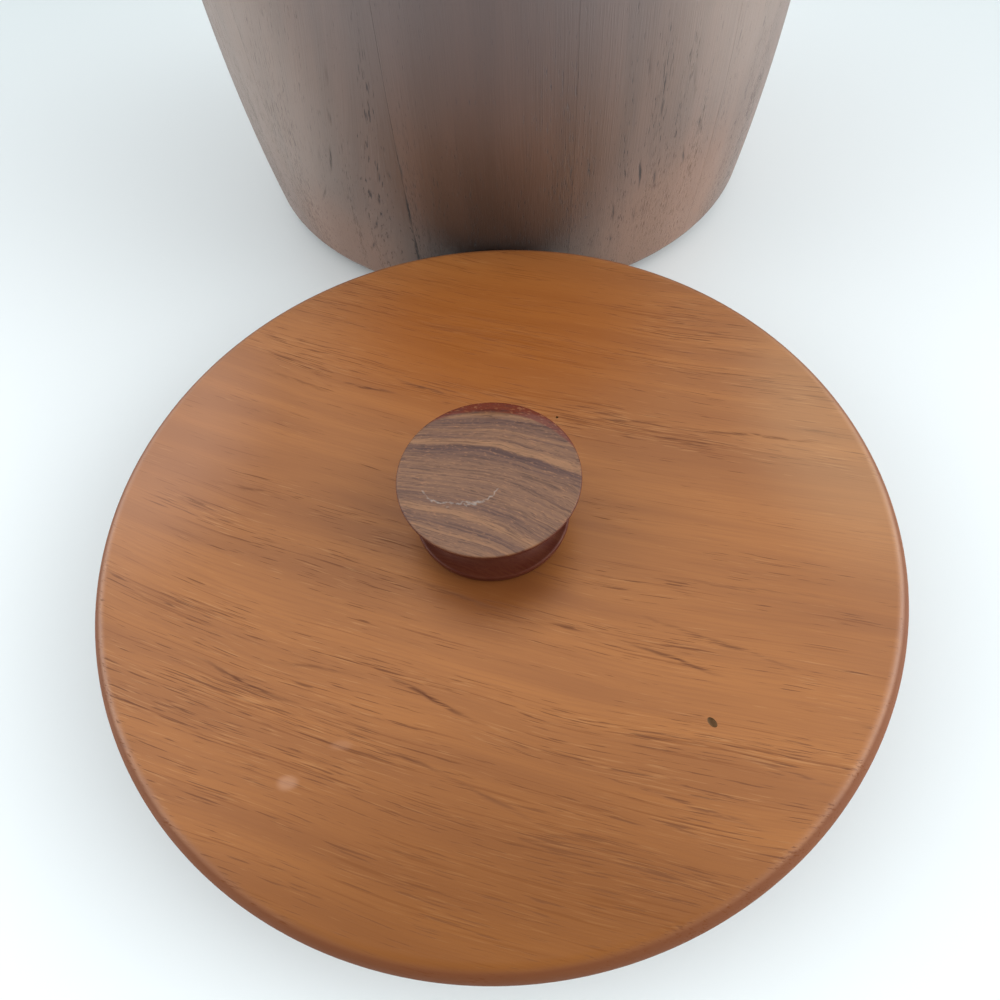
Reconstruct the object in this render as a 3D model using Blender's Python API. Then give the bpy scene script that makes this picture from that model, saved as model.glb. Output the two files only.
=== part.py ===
"""Teak canister with a lift-off lid.

The body is coopered from teak staves, glued edge to edge and turned to a slight bow with a round
foot. It has a base board in a rebate, foam round a moulded liner, and a cork disc to stand on. The
lid is a round teak board with a turned knob, and it lies in front of the body on its moulded plug.

Metres, +Z up. The origin is the centre of the body's underside, on the table, and the lid lies
straight towards -Y. Every round piece is an outline of (radius, height) points turned about +Z.
"""

import math

import bmesh
import bpy
from mathutils import Matrix

MM = 0.001
FULL_TURN = 2 * math.pi

# Air left between pieces that touch, and facets round each size of piece
GAP = 0.3 * MM
BIG_FACETS = 48
STAVE_FACETS = 4
KNOB_FACETS = 40
SMALL_FACETS = 14
COVE_STEPS = 9

# Body
BODY_HEIGHT = 135 * MM
BELLY_RADIUS = 99.3 * MM
BELLY_HEIGHT = 76 * MM
FOOT_DRAW_IN = 5.7 * MM
STAVE_COUNT = 12
STAVE_SKEW = math.radians(-1.4)
STAVE_TONE = 0.07
STAVE_TONE_STEP = 2.4
SHELL_WALL = 10 * MM
RIM_ROUND = 1.6 * MM
FOOT_ROUND = 6 * MM
FOOT_LAND = 0.5 * MM
BASE_THICKNESS = 9 * MM
BASE_LEDGE = 2.2 * MM
CORK_RADIUS = 74 * MM
CORK_THICKNESS = 3 * MM
CORK_PROUD = 1.5 * MM
CORK_EDGE = 0.5 * MM
BASE_FOAM_THICKNESS = 8 * MM

# Liner
LINER_WALL = 2 * MM
LINER_TAPER = 3 * MM
LINER_CORNER = 8 * MM
FLANGE_THICKNESS = 2.2 * MM
FLANGE_SEAT = 3.5 * MM
RIM_FOAM = 3 * MM

# Lid board, which overhangs the body's belly a little
LID_OVERHANG = 0.7 * MM
LID_THICKNESS = 10 * MM
LID_EDGE_ROUND = 4 * MM
LID_APART = 0.4 * MM

# Plug under the lid
PLUG_DEPTH = 17 * MM
PLUG_WALL = 2 * MM
PLUG_TAPER = 1 * MM
PLUG_CORNER = 3 * MM
PLUG_CLEARANCE = 1.6 * MM
PLUG_FLANGE_REACH = 4 * MM
PLUG_FLANGE_THICKNESS = 1.5 * MM
REST_RING_WIDTH = 8 * MM
REST_RING_HEIGHT = 0.8 * MM
GASKET_HEIGHT = 3 * MM
GASKET_GROOVE = 0.8 * MM
GASKET_DROP = 3 * MM
GASKET_SQUEEZE_ROOM = 0.4 * MM
BOSS_COUNT = 4
BOSS_CIRCLE = 58 * MM
BOSS_RADIUS = 5.6 * MM

# Screws that hold the plug to the board
SCREW_RADIUS = 1.75 * MM
SCREW_HEAD_RADIUS = 3.4 * MM
SCREW_HEAD_HEIGHT = 2.2 * MM
SCREW_BITE = 5.5 * MM
SCREW_SINK = 0.6 * MM
SCREW_TIP = 0.3
SCREW_TAPER = 1.5

# Knob, its spigot and its screw
KNOB_RADIUS = 21.7 * MM
KNOB_HEIGHT = 17.2 * MM
KNOB_DOME = 0.7 * MM
KNOB_EDGE_ROUND = 1.7 * MM
KNOB_NECK_RADIUS = 12.6 * MM
KNOB_FOOT_RADIUS = 19.3 * MM
KNOB_FOOT_EDGE = 1.4 * MM
KNOB_FOOT_ROUND = 0.6 * MM
SPIGOT_RADIUS = 8 * MM
SPIGOT_LENGTH = 4 * MM
KNOB_SCREW_RADIUS = 2.2 * MM
KNOB_SCREW_BITE = 8 * MM
KNOB_SCREW_HEAD_RADIUS = 4.4 * MM
KNOB_SCREW_HEAD_HEIGHT = 2.6 * MM
WASHER_RADIUS = 7 * MM
WASHER_THICKNESS = 1.2 * MM
KNOB_SCREW_ROOM = 1.5 * MM

# The bow of the wall is one arc, upright at the belly
BOW_RADIUS = (BELLY_HEIGHT ** 2 + FOOT_DRAW_IN ** 2) / (2 * FOOT_DRAW_IN)
BOW_CENTRE = BELLY_RADIUS - BOW_RADIUS

# Heights in the body, from the table up
SHELL_BOTTOM = CORK_PROUD
BASE_TOP = SHELL_BOTTOM + BASE_THICKNESS
LEDGE_HEIGHT = BASE_TOP + GAP
BASE_FOAM_TOP = LEDGE_HEIGHT + BASE_FOAM_THICKNESS
LINER_BOTTOM = BASE_FOAM_TOP + GAP
FLANGE_TOP = BODY_HEIGHT - GAP
FLANGE_BOTTOM = FLANGE_TOP - FLANGE_THICKNESS
FLANGE_LEDGE = FLANGE_BOTTOM - GAP

# Heights in the lid, from the face that it lies on up
BOARD_BOTTOM = PLUG_DEPTH
BOARD_TOP = BOARD_BOTTOM + LID_THICKNESS
PLUG_TOP = BOARD_BOTTOM + PLUG_FLANGE_THICKNESS
BOARD_RECESS = PLUG_TOP + GAP
PLUG_FLOOR = REST_RING_HEIGHT + PLUG_WALL
SOCKET_FLOOR = BOARD_TOP - SPIGOT_LENGTH - GAP
SCREW_HEAD_BOTTOM = REST_RING_HEIGHT + SCREW_SINK
SCREW_HEAD_TOP = SCREW_HEAD_BOTTOM + SCREW_HEAD_HEIGHT
WASHER_TOP = BOARD_RECESS - GAP
WASHER_BOTTOM = WASHER_TOP - WASHER_THICKNESS
KNOB_SCREW_SEAT = WASHER_BOTTOM - GAP
KNOB_SCREW_BOTTOM = KNOB_SCREW_SEAT - KNOB_SCREW_HEAD_HEIGHT
KNOB_BOTTOM = BOARD_TOP + GAP
KNOB_SCREW_TOP = BOARD_TOP + KNOB_SCREW_BITE


def bow_tilt(height, inset):
    """Angle of the bowed wall's normal at a height, on the curve that lies inset from its face."""
    return math.asin((height - BELLY_HEIGHT) / (BOW_RADIUS - inset))


def wall_radius(height, inset=0.0):
    """Radius of the bowed wall at a height, on the curve that lies inset from its face."""
    return BOW_CENTRE + (BOW_RADIUS - inset) * math.cos(bow_tilt(height, inset))


def arc(centre, radius, start, end, steps):
    """Points of an arc about a (radius, height) centre, with angles up from the outward direction."""
    points = []
    for step in range(steps + 1):
        angle = start + (end - start) * step / steps
        points.append((centre[0] + radius * math.cos(angle), centre[1] + radius * math.sin(angle)))
    return points


def bow(inset, start_height, end_height, steps):
    """Points of the bowed wall between two heights, inset from its outer face."""
    start, end = bow_tilt(start_height, inset), bow_tilt(end_height, inset)
    return arc((BOW_CENTRE, BELLY_HEIGHT), BOW_RADIUS - inset, start, end, steps)


# Radii that neighbouring pieces share
RIM_INNER = wall_radius(FLANGE_LEDGE, SHELL_WALL)
LEDGE_INNER = wall_radius(LEDGE_HEIGHT, SHELL_WALL)
REBATE_RADIUS = LEDGE_INNER + BASE_LEDGE
FLANGE_SEAT_RADIUS = RIM_INNER + FLANGE_SEAT
LINER_TOP_RADIUS = RIM_INNER - RIM_FOAM
LINER_BOTTOM_RADIUS = LINER_TOP_RADIUS - LINER_TAPER
MOUTH_RADIUS = LINER_TOP_RADIUS - LINER_WALL
LID_RADIUS = BELLY_RADIUS + LID_OVERHANG
PLUG_TOP_RADIUS = MOUTH_RADIUS - PLUG_CLEARANCE
PLUG_BOTTOM_RADIUS = PLUG_TOP_RADIUS - PLUG_TAPER
PLUG_FLANGE_RADIUS = PLUG_TOP_RADIUS + PLUG_FLANGE_REACH
GASKET_RADIUS = MOUTH_RADIUS - GASKET_SQUEEZE_ROOM

# The lid's board all but touches the body's wall
LID_CENTRE_Y = -(LID_RADIUS + LID_APART + wall_radius(BOARD_TOP - LID_EDGE_ROUND))


def clear_scene():
    """Remove whatever the file holds."""
    for item in list(bpy.data.objects):
        bpy.data.objects.remove(item, do_unlink=True)


def finish(name, colour, roughness, metallic=0.0):
    """A Principled material in the piece's own colour."""
    material = bpy.data.materials.new(name)
    material.use_nodes = True
    shader = material.node_tree.nodes["Principled BSDF"]
    shader.inputs["Base Color"].default_value = (*colour, 1.0)
    shader.inputs["Roughness"].default_value = roughness
    shader.inputs["Metallic"].default_value = metallic
    return material


def group(name, y=0.0):
    """An empty that carries the pieces of one moving body."""
    empty = bpy.data.objects.new(name, None)
    empty.location = (0.0, y, 0.0)
    bpy.context.collection.objects.link(empty)
    return empty


def turned_mesh(name, outline, facets, material=None, places=((0.0, 0.0),), start=0.0, sweep=FULL_TURN):
    """Turn an outline about +Z at each (x, y) place.

    An outline that leaves the axis and comes back to it is turned as a line, and any other is a
    closed section. A sweep of less than a turn keeps the section's face at both ends.
    """
    shape = bmesh.new()
    on_axis = outline[0][0] == 0.0
    for x, y in places:
        turned = Matrix.Translation((x, y, 0.0)) @ Matrix.Rotation(start, 4, "Z")
        points = [shape.verts.new(turned @ Matrix.Translation((r, 0.0, z)).translation) for r, z in outline]
        edges = [shape.edges.new(pair) for pair in zip(points, points[1:])]
        if not on_axis:
            edges.append(shape.edges.new((points[-1], points[0])))
        section = points + edges
        if sweep < FULL_TURN:
            section.append(shape.faces.new(points))
        bmesh.ops.spin(shape, geom=section, cent=(x, y, 0.0), axis=(0.0, 0.0, 1.0),
                       angle=sweep, steps=facets, use_merge=sweep == FULL_TURN)
    bmesh.ops.remove_doubles(shape, verts=shape.verts, dist=0.001 * MM)
    bmesh.ops.recalc_face_normals(shape, faces=shape.faces)
    mesh = bpy.data.meshes.new(name)
    shape.to_mesh(mesh)
    shape.free()
    mesh.shade_smooth()
    mesh.set_sharp_from_angle(angle=math.radians(35))
    if material:
        mesh.materials.append(material)
    return mesh


def piece(name, mesh, carrier, place=(0.0, 0.0, 0.0)):
    """A named piece made of a mesh, carried by a body's empty."""
    made = bpy.data.objects.new(name, mesh)
    made.parent = carrier
    made.location = place
    bpy.context.collection.objects.link(made)
    return made


def cut(target, tool_mesh, operation="DIFFERENCE"):
    """Cut a piece with a tool that stays in the scene as a guide, or weld the tool's shape on."""
    tool = bpy.data.objects.new(tool_mesh.name, tool_mesh)
    tool.parent = target.parent
    tool.hide_render = True
    tool.display_type = "WIRE"
    bpy.context.collection.objects.link(tool)
    modifier = target.modifiers.new(tool_mesh.name, "BOOLEAN")
    modifier.operation = operation
    modifier.object = tool


def pin(radius, bottom, top):
    """Outline of a plain round pin."""
    return [(0.0, top), (radius, top), (radius, bottom), (0.0, bottom)]


def screw(radius, top, head_radius, head_bottom, head_top):
    """Outline of a screw that points up, with a chamfered head and a tapered tip."""
    chamfer = (head_top - head_bottom) / 4
    return [
        (0.0, top),
        (radius * SCREW_TIP, top),
        (radius, top - radius * SCREW_TAPER),
        (radius, head_top),
        (head_radius, head_top),
        (head_radius, head_bottom + chamfer),
        (head_radius - chamfer, head_bottom),
        (0.0, head_bottom),
    ]


def make_staves(body):
    """Teak staves of the wall: bowed, rounded at rim and foot, rebated for the base and the liner."""
    foot_bottom_radius = wall_radius(SHELL_BOTTOM)
    foot_round = min(FOOT_ROUND, foot_bottom_radius - REBATE_RADIUS - FOOT_LAND)
    rim_height = BODY_HEIGHT - RIM_ROUND
    foot_height = SHELL_BOTTOM + foot_round
    rim_centre = (wall_radius(rim_height, RIM_ROUND), rim_height)
    foot_centre = (wall_radius(foot_height, foot_round), foot_height)
    rim_tilt = bow_tilt(rim_height, RIM_ROUND)
    foot_tilt = bow_tilt(foot_height, foot_round)
    upper = BELLY_HEIGHT + BOW_RADIUS * math.sin(rim_tilt)
    lower = BELLY_HEIGHT + BOW_RADIUS * math.sin(foot_tilt)
    outline = arc(rim_centre, RIM_ROUND, math.pi / 2, rim_tilt, 2)
    outline += bow(0.0, upper, lower, 8)[1:-1]
    outline += arc(foot_centre, foot_round, foot_tilt, -math.pi / 2, 4)
    outline += [(REBATE_RADIUS, SHELL_BOTTOM), (REBATE_RADIUS, LEDGE_HEIGHT)]
    outline += bow(SHELL_WALL, LEDGE_HEIGHT, FLANGE_LEDGE, 6)
    outline += [(FLANGE_SEAT_RADIUS, FLANGE_LEDGE), (FLANGE_SEAT_RADIUS, BODY_HEIGHT)]
    pitch = FULL_TURN / STAVE_COUNT
    split = GAP / (2 * LEDGE_INNER)
    for number in range(STAVE_COUNT):
        name = f"stave_{number + 1:02d}"
        tone = 1 + STAVE_TONE * math.sin(STAVE_TONE_STEP * number)
        teak = finish(name, (0.30 * tone, 0.17 * tone, 0.10 * tone), 0.42)
        start = -math.pi / 2 + STAVE_SKEW + pitch * (number - 0.5) + split
        mesh = turned_mesh(name, outline, STAVE_FACETS, teak, start=start, sweep=pitch - 2 * split)
        piece(name, mesh, body)


def make_base(body):
    """Base board glued in the shell's rebate, with a cork disc let into its underside."""
    recess_radius = CORK_RADIUS + GAP
    recess_top = SHELL_BOTTOM + CORK_THICKNESS - CORK_PROUD
    radius = REBATE_RADIUS - GAP
    outline = [
        (0.0, BASE_TOP),
        (radius, BASE_TOP),
        (radius, SHELL_BOTTOM),
        (recess_radius, SHELL_BOTTOM),
        (recess_radius, recess_top),
        (0.0, recess_top),
    ]
    plywood = finish("teak_plywood", (0.33, 0.20, 0.11), 0.55)
    piece("base_board", turned_mesh("base_board", outline, BIG_FACETS, plywood), body)
    cork_outline = [
        (0.0, recess_top - GAP),
        (CORK_RADIUS, recess_top - GAP),
        (CORK_RADIUS, CORK_EDGE),
        (CORK_RADIUS - CORK_EDGE, 0.0),
        (0.0, 0.0),
    ]
    cork = finish("cork", (0.46, 0.29, 0.16), 0.9)
    piece("cork_foot", turned_mesh("cork_foot", cork_outline, BIG_FACETS, cork), body)


def liner_side(height, inset=0.0):
    """Radius of the liner's tapered outer wall at a height, inset from its face."""
    share = (height - LINER_BOTTOM) / (FLANGE_BOTTOM - LINER_BOTTOM)
    return LINER_BOTTOM_RADIUS + LINER_TAPER * share - inset


def make_insulation(body):
    """Foam disc under the liner and two foam half sleeves between the liner and the shell."""
    foam = finish("foam", (0.86, 0.85, 0.80), 0.85)
    disc_radius = LEDGE_INNER - GAP
    disc = pin(disc_radius, LEDGE_HEIGHT, BASE_FOAM_TOP)
    piece("foam_disc", turned_mesh("foam_disc", disc, BIG_FACETS, foam), body)
    low, high = LINER_BOTTOM, FLANGE_LEDGE
    section = bow(SHELL_WALL + GAP, high, low, 6)
    section += [(liner_side(low, -GAP), low), (liner_side(high, -GAP), high)]
    split = GAP / liner_side(low)
    for name, start in (("foam_sleeve_left", math.pi / 2), ("foam_sleeve_right", -math.pi / 2)):
        mesh = turned_mesh(name, section, BIG_FACETS // 2, foam, start=start + split,
                           sweep=math.pi - 2 * split)
        piece(name, mesh, body)


def make_liner(carrier):
    """Moulded tub with a tapered wall, a rounded inside corner and a flange that hangs in the rim."""
    floor = LINER_BOTTOM + LINER_WALL
    inner_corner = LINER_CORNER - LINER_WALL
    inner_radius = liner_side(floor, LINER_WALL)
    flange_radius = FLANGE_SEAT_RADIUS - GAP
    lip = FLANGE_THICKNESS / 2
    outline = [(0.0, floor)]
    outline += arc((inner_radius - inner_corner, floor + inner_corner), inner_corner, -math.pi / 2, 0.0, 4)
    outline += arc((MOUTH_RADIUS + lip, FLANGE_TOP - lip), lip, math.pi, math.pi / 2, 2)
    outline += [(flange_radius, FLANGE_TOP), (flange_radius, FLANGE_BOTTOM)]
    outline += [(LINER_TOP_RADIUS, FLANGE_BOTTOM)]
    outer_centre = (liner_side(LINER_BOTTOM) - LINER_CORNER, LINER_BOTTOM + LINER_CORNER)
    outline += arc(outer_centre, LINER_CORNER, 0.0, -math.pi / 2, 4)
    outline += [(0.0, LINER_BOTTOM)]
    plastic = finish("liner_plastic", (0.80, 0.77, 0.69), 0.3)
    piece("liner", turned_mesh("liner", outline, BIG_FACETS, plastic), carrier)


def boss_places():
    """Centres of the plug's screw bosses."""
    angles = [math.pi / 4 + FULL_TURN * number / BOSS_COUNT for number in range(BOSS_COUNT)]
    return [(BOSS_CIRCLE * math.cos(angle), BOSS_CIRCLE * math.sin(angle)) for angle in angles]


def make_lid_board(lid):
    """Round teak board with rounded edges, a socket for the knob and a recess for the plug."""
    recess_radius = PLUG_FLANGE_RADIUS + GAP
    hole = KNOB_SCREW_RADIUS + GAP
    socket = SPIGOT_RADIUS + GAP
    edge = LID_RADIUS - LID_EDGE_ROUND
    outline = [(socket, BOARD_TOP)]
    outline += arc((edge, BOARD_TOP - LID_EDGE_ROUND), LID_EDGE_ROUND, math.pi / 2, 0.0, 4)
    outline += arc((edge, BOARD_BOTTOM + LID_EDGE_ROUND), LID_EDGE_ROUND, 0.0, -math.pi / 2, 4)
    outline += [
        (recess_radius, BOARD_BOTTOM),
        (recess_radius, BOARD_RECESS),
        (hole, BOARD_RECESS),
        (hole, SOCKET_FLOOR),
        (socket, SOCKET_FLOOR),
    ]
    teak = finish("teak_board", (0.42, 0.19, 0.08), 0.35)
    board = piece("lid_board", turned_mesh("lid_board", outline, BIG_FACETS, teak), lid)
    pilot = pin(SCREW_RADIUS + GAP, BOARD_BOTTOM, BOARD_RECESS + SCREW_BITE + GAP)
    cut(board, turned_mesh("pilot_holes", pilot, SMALL_FACETS, places=boss_places()))


def make_knob(lid):
    """Turned knob: domed cap, hollowed neck, thin foot, and a spigot glued into the board."""
    cap_edge = KNOB_BOTTOM + KNOB_HEIGHT - KNOB_DOME - KNOB_EDGE_ROUND
    dome_reach = KNOB_RADIUS - KNOB_EDGE_ROUND
    dome_radius = (dome_reach ** 2 + KNOB_DOME ** 2) / (2 * KNOB_DOME)
    dome_angle = math.asin(dome_reach / dome_radius)
    dome_centre = (0.0, KNOB_BOTTOM + KNOB_HEIGHT - dome_radius)
    outline = arc(dome_centre, dome_radius, math.pi / 2, math.pi / 2 - dome_angle, 3)
    outline[0] = (0.0, KNOB_BOTTOM + KNOB_HEIGHT)
    outline += arc((dome_reach, cap_edge), KNOB_EDGE_ROUND, math.pi / 2, -math.pi / 2, 5)[1:]
    cove_top = cap_edge - KNOB_EDGE_ROUND
    cove_bottom = KNOB_BOTTOM + KNOB_FOOT_EDGE
    cove_middle = (cove_top + cove_bottom) / 2
    half = (cove_top - cove_bottom) / 2
    for step in range(1, COVE_STEPS):
        angle = math.pi / 2 - math.pi * step / COVE_STEPS
        rest_radius = dome_reach if angle > 0 else KNOB_FOOT_RADIUS - KNOB_FOOT_ROUND
        depth = rest_radius - KNOB_NECK_RADIUS
        outline.append((rest_radius - depth * math.cos(angle), cove_middle + half * math.sin(angle)))
    foot_centre = (KNOB_FOOT_RADIUS - KNOB_FOOT_ROUND, cove_bottom - KNOB_FOOT_ROUND)
    outline += arc(foot_centre, KNOB_FOOT_ROUND, math.pi / 2, 0.0, 2)
    spigot_bottom = BOARD_TOP - SPIGOT_LENGTH
    pilot_radius = KNOB_SCREW_RADIUS + GAP
    outline += [
        (KNOB_FOOT_RADIUS, KNOB_BOTTOM),
        (SPIGOT_RADIUS, KNOB_BOTTOM),
        (SPIGOT_RADIUS, spigot_bottom),
        (pilot_radius, spigot_bottom),
        (pilot_radius, KNOB_SCREW_TOP + GAP),
        (0.0, KNOB_SCREW_TOP + GAP),
    ]
    teak = finish("teak_turned", (0.24, 0.12, 0.08), 0.32)
    piece("knob", turned_mesh("knob", outline, KNOB_FACETS, teak), lid)


def make_knob_screw(lid):
    """Screw and washer that draw the knob down on to the board from below."""
    steel = finish("zinc_steel", (0.62, 0.61, 0.58), 0.35, 1.0)
    outline = screw(KNOB_SCREW_RADIUS, KNOB_SCREW_TOP, KNOB_SCREW_HEAD_RADIUS,
                    KNOB_SCREW_BOTTOM, KNOB_SCREW_SEAT)
    piece("knob_screw", turned_mesh("knob_screw", outline, SMALL_FACETS, steel), lid)
    bore = KNOB_SCREW_RADIUS + GAP
    washer = [(bore, WASHER_TOP), (WASHER_RADIUS, WASHER_TOP),
              (WASHER_RADIUS, WASHER_BOTTOM), (bore, WASHER_BOTTOM)]
    washer_steel = finish("washer_steel", (0.60, 0.58, 0.54), 0.4, 1.0)
    piece("knob_washer", turned_mesh("knob_washer", washer, 2 * SMALL_FACETS, washer_steel), lid)


def plug_side(height):
    """Radius of the plug's tapered outer wall at a height."""
    return PLUG_BOTTOM_RADIUS + PLUG_TAPER * height / PLUG_TOP


def make_plug(lid):
    """Moulded pan under the lid: gasket groove, rest ring, and bosses that take the screws."""
    groove_top = BOARD_BOTTOM - GASKET_DROP
    groove_bottom = groove_top - GASKET_HEIGHT - 2 * GAP
    groove_radius = plug_side(groove_top) - GASKET_GROOVE
    inner_corner = PLUG_CORNER - PLUG_WALL
    inner_bottom = PLUG_BOTTOM_RADIUS - PLUG_WALL
    outline = [(0.0, PLUG_FLOOR)]
    outline += arc((inner_bottom - inner_corner, PLUG_FLOOR + inner_corner), inner_corner,
                   -math.pi / 2, 0.0, 2)
    outline += [
        (PLUG_TOP_RADIUS - PLUG_WALL, PLUG_TOP),
        (PLUG_FLANGE_RADIUS, PLUG_TOP),
        (PLUG_FLANGE_RADIUS, BOARD_BOTTOM),
        (plug_side(BOARD_BOTTOM), BOARD_BOTTOM),
        (plug_side(groove_top), groove_top),
        (groove_radius, groove_top),
        (groove_radius, groove_bottom),
        (plug_side(groove_bottom), groove_bottom),
    ]
    corner_centre = (plug_side(PLUG_CORNER) - PLUG_CORNER, PLUG_CORNER)
    outline += arc(corner_centre, PLUG_CORNER, 0.0, -math.pi / 2, 3)
    ring_inner = corner_centre[0] - REST_RING_WIDTH
    outline += [(ring_inner, 0.0), (ring_inner - REST_RING_HEIGHT, REST_RING_HEIGHT), (0.0, REST_RING_HEIGHT)]
    plastic = finish("plug_plastic", (0.80, 0.77, 0.69), 0.3)
    plug = piece("lid_plug", turned_mesh("lid_plug", outline, BIG_FACETS, plastic), lid)
    boss = pin(BOSS_RADIUS, PLUG_FLOOR - PLUG_WALL / 2, PLUG_TOP)
    cut(plug, turned_mesh("bosses", boss, SMALL_FACETS, places=boss_places()), "UNION")
    shank, head = SCREW_RADIUS + GAP, SCREW_HEAD_RADIUS + GAP
    bore = [(0.0, PLUG_TOP + GAP), (shank, PLUG_TOP + GAP), (shank, SCREW_HEAD_TOP + GAP),
            (head, SCREW_HEAD_TOP + GAP), (head, 0.0), (0.0, 0.0)]
    cut(plug, turned_mesh("boss_bores", bore, SMALL_FACETS, places=boss_places()))
    bulge = [
        (groove_radius + GAP, groove_top - GAP),
        (plug_side(groove_top) + GAP, groove_top - GAP),
        (GASKET_RADIUS, groove_top - GAP - GASKET_HEIGHT / 3),
        (GASKET_RADIUS, groove_top - GAP - 2 * GASKET_HEIGHT / 3),
        (plug_side(groove_bottom) + GAP, groove_bottom + GAP),
        (groove_radius + GAP, groove_bottom + GAP),
    ]
    rubber = finish("gasket_rubber", (0.10, 0.09, 0.08), 0.7)
    piece("lid_gasket", turned_mesh("lid_gasket", bulge, BIG_FACETS, rubber), lid)


def make_plug_screws(lid):
    """The screws up through the plug's bosses into the board."""
    outline = screw(SCREW_RADIUS, BOARD_RECESS + SCREW_BITE, SCREW_HEAD_RADIUS,
                    SCREW_HEAD_BOTTOM, SCREW_HEAD_TOP)
    steel = finish("screw_steel", (0.62, 0.61, 0.58), 0.35, 1.0)
    mesh = turned_mesh("plug_screw", outline, SMALL_FACETS, steel)
    for number, (x, y) in enumerate(boss_places(), 1):
        piece(f"plug_screw_{number}", mesh, lid, (x, y, 0.0))


def make_lid_foam(lid):
    """Foam disc that fills the plug, hollowed for the knob's screw and pierced for the bosses."""
    pocket_radius = WASHER_RADIUS + KNOB_SCREW_ROOM
    pocket_floor = KNOB_SCREW_BOTTOM - KNOB_SCREW_ROOM
    top, bottom = PLUG_TOP, PLUG_FLOOR + GAP
    top_radius = PLUG_TOP_RADIUS - PLUG_WALL - GAP
    bottom_radius = PLUG_BOTTOM_RADIUS - PLUG_WALL - GAP
    outline = [
        (0.0, pocket_floor),
        (pocket_radius, pocket_floor),
        (pocket_radius, top),
        (top_radius, top),
        (bottom_radius, bottom + PLUG_CORNER),
        (bottom_radius - PLUG_CORNER, bottom),
        (0.0, bottom),
    ]
    foam = finish("lid_foam", (0.86, 0.85, 0.80), 0.85)
    disc = piece("lid_foam", turned_mesh("lid_foam", outline, BIG_FACETS, foam), lid)
    room = pin(BOSS_RADIUS + GAP, PLUG_FLOOR - GAP, PLUG_TOP + GAP)
    cut(disc, turned_mesh("boss_room", room, SMALL_FACETS, places=boss_places()))


clear_scene()
canister_body = group("canister")
liner_body = group("liner_lift")
lid_body = group("lid", LID_CENTRE_Y)
make_staves(canister_body)
make_base(canister_body)
make_insulation(canister_body)
make_liner(liner_body)
make_lid_board(lid_body)
make_knob(lid_body)
make_knob_screw(lid_body)
make_plug(lid_body)
make_plug_screws(lid_body)
make_lid_foam(lid_body)
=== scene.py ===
import math

import bmesh
import bpy
from mathutils import Matrix, Vector


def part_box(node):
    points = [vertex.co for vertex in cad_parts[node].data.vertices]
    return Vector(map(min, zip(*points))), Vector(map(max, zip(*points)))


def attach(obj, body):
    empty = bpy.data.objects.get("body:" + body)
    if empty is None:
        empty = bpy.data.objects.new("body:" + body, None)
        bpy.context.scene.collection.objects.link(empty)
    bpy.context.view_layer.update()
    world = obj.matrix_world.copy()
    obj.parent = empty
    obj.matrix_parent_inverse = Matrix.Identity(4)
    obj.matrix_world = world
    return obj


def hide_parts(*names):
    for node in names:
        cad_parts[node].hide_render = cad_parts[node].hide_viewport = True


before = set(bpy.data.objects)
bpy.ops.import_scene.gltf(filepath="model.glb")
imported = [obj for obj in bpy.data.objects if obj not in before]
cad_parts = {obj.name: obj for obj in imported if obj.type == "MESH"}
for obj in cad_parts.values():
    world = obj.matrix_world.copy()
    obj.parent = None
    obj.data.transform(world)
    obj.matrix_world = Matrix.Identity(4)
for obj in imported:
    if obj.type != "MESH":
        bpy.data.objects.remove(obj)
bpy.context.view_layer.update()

# Staves
# Twelve teak staves with upright grain, glued edge to edge like a barrel's and turned on a lathe to a
# slight bow, with a small rounding at the rim and a large one at the foot. The outside is oiled.
MM = 0.001
FULL_TURN = 2 * math.pi
TURN_FACETS = 288
GAP = 0.3 * MM
# Points nearer than this are one, and edges sharper than this are hard
SAME_PLACE = 0.001 * MM
SHARP = math.radians(30)
BODY_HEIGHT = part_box("stave_01")[1].z
SHELL_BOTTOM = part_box("stave_01")[0].z
BELLY_RADIUS = 99.3 * MM
BELLY_HEIGHT = 76 * MM
FOOT_DRAW_IN = 5.7 * MM
SHELL_WALL = 10 * MM
RIM_ROUND = 1.6 * MM
FOOT_ROUND = 6 * MM
EASED_EDGE = 0.3 * MM
STAVES = sorted(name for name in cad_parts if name.startswith("stave_"))
# How far the ring of staves is turned about its axis from having one stave straight in front
STAVE_SKEW = math.radians(-1.4)
GLUE_LINE = 0.06 * MM
FLANGE_THICKNESS = 2.2 * MM
BOW_RADIUS = (BELLY_HEIGHT ** 2 + FOOT_DRAW_IN ** 2) / (2 * FOOT_DRAW_IN)
BOW_CENTRE = BELLY_RADIUS - BOW_RADIUS
LEDGE_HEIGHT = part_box("base_board")[1].z + GAP
FLANGE_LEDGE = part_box("liner")[1].z - FLANGE_THICKNESS - GAP
# Teak's own measures in millimetres: half the width of a row of pores, how far such a row wavers and how
# long a waver is, and how far apart in the plank two neighbouring staves were cut
DASH_HALF_WIDTH = 0.8
WAVER = 2.0
WAVER_LENGTH = 9.0
PLANK_APART = 137.0
# How much a porous place adds to the pattern of lines and pores, how much patches count beside trails, and
# between which values of that pattern a line or pore appears
POROUS_SHIFT = 0.16
PATCHINESS = 1.6
PORE_START = 0.70
PORE_FULL = 0.80
# How much duller pores and the darker bands by height (end grain, and the painted shade round the lid's
# edge) are, how unevenly the oil lies and how deep pores are drawn
PORE_DULLNESS = 0.4
DARK_BAND_DULLNESS = 0.5
GLOSS_SWING = 0.12
PORE_RELIEF = -1.5
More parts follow.
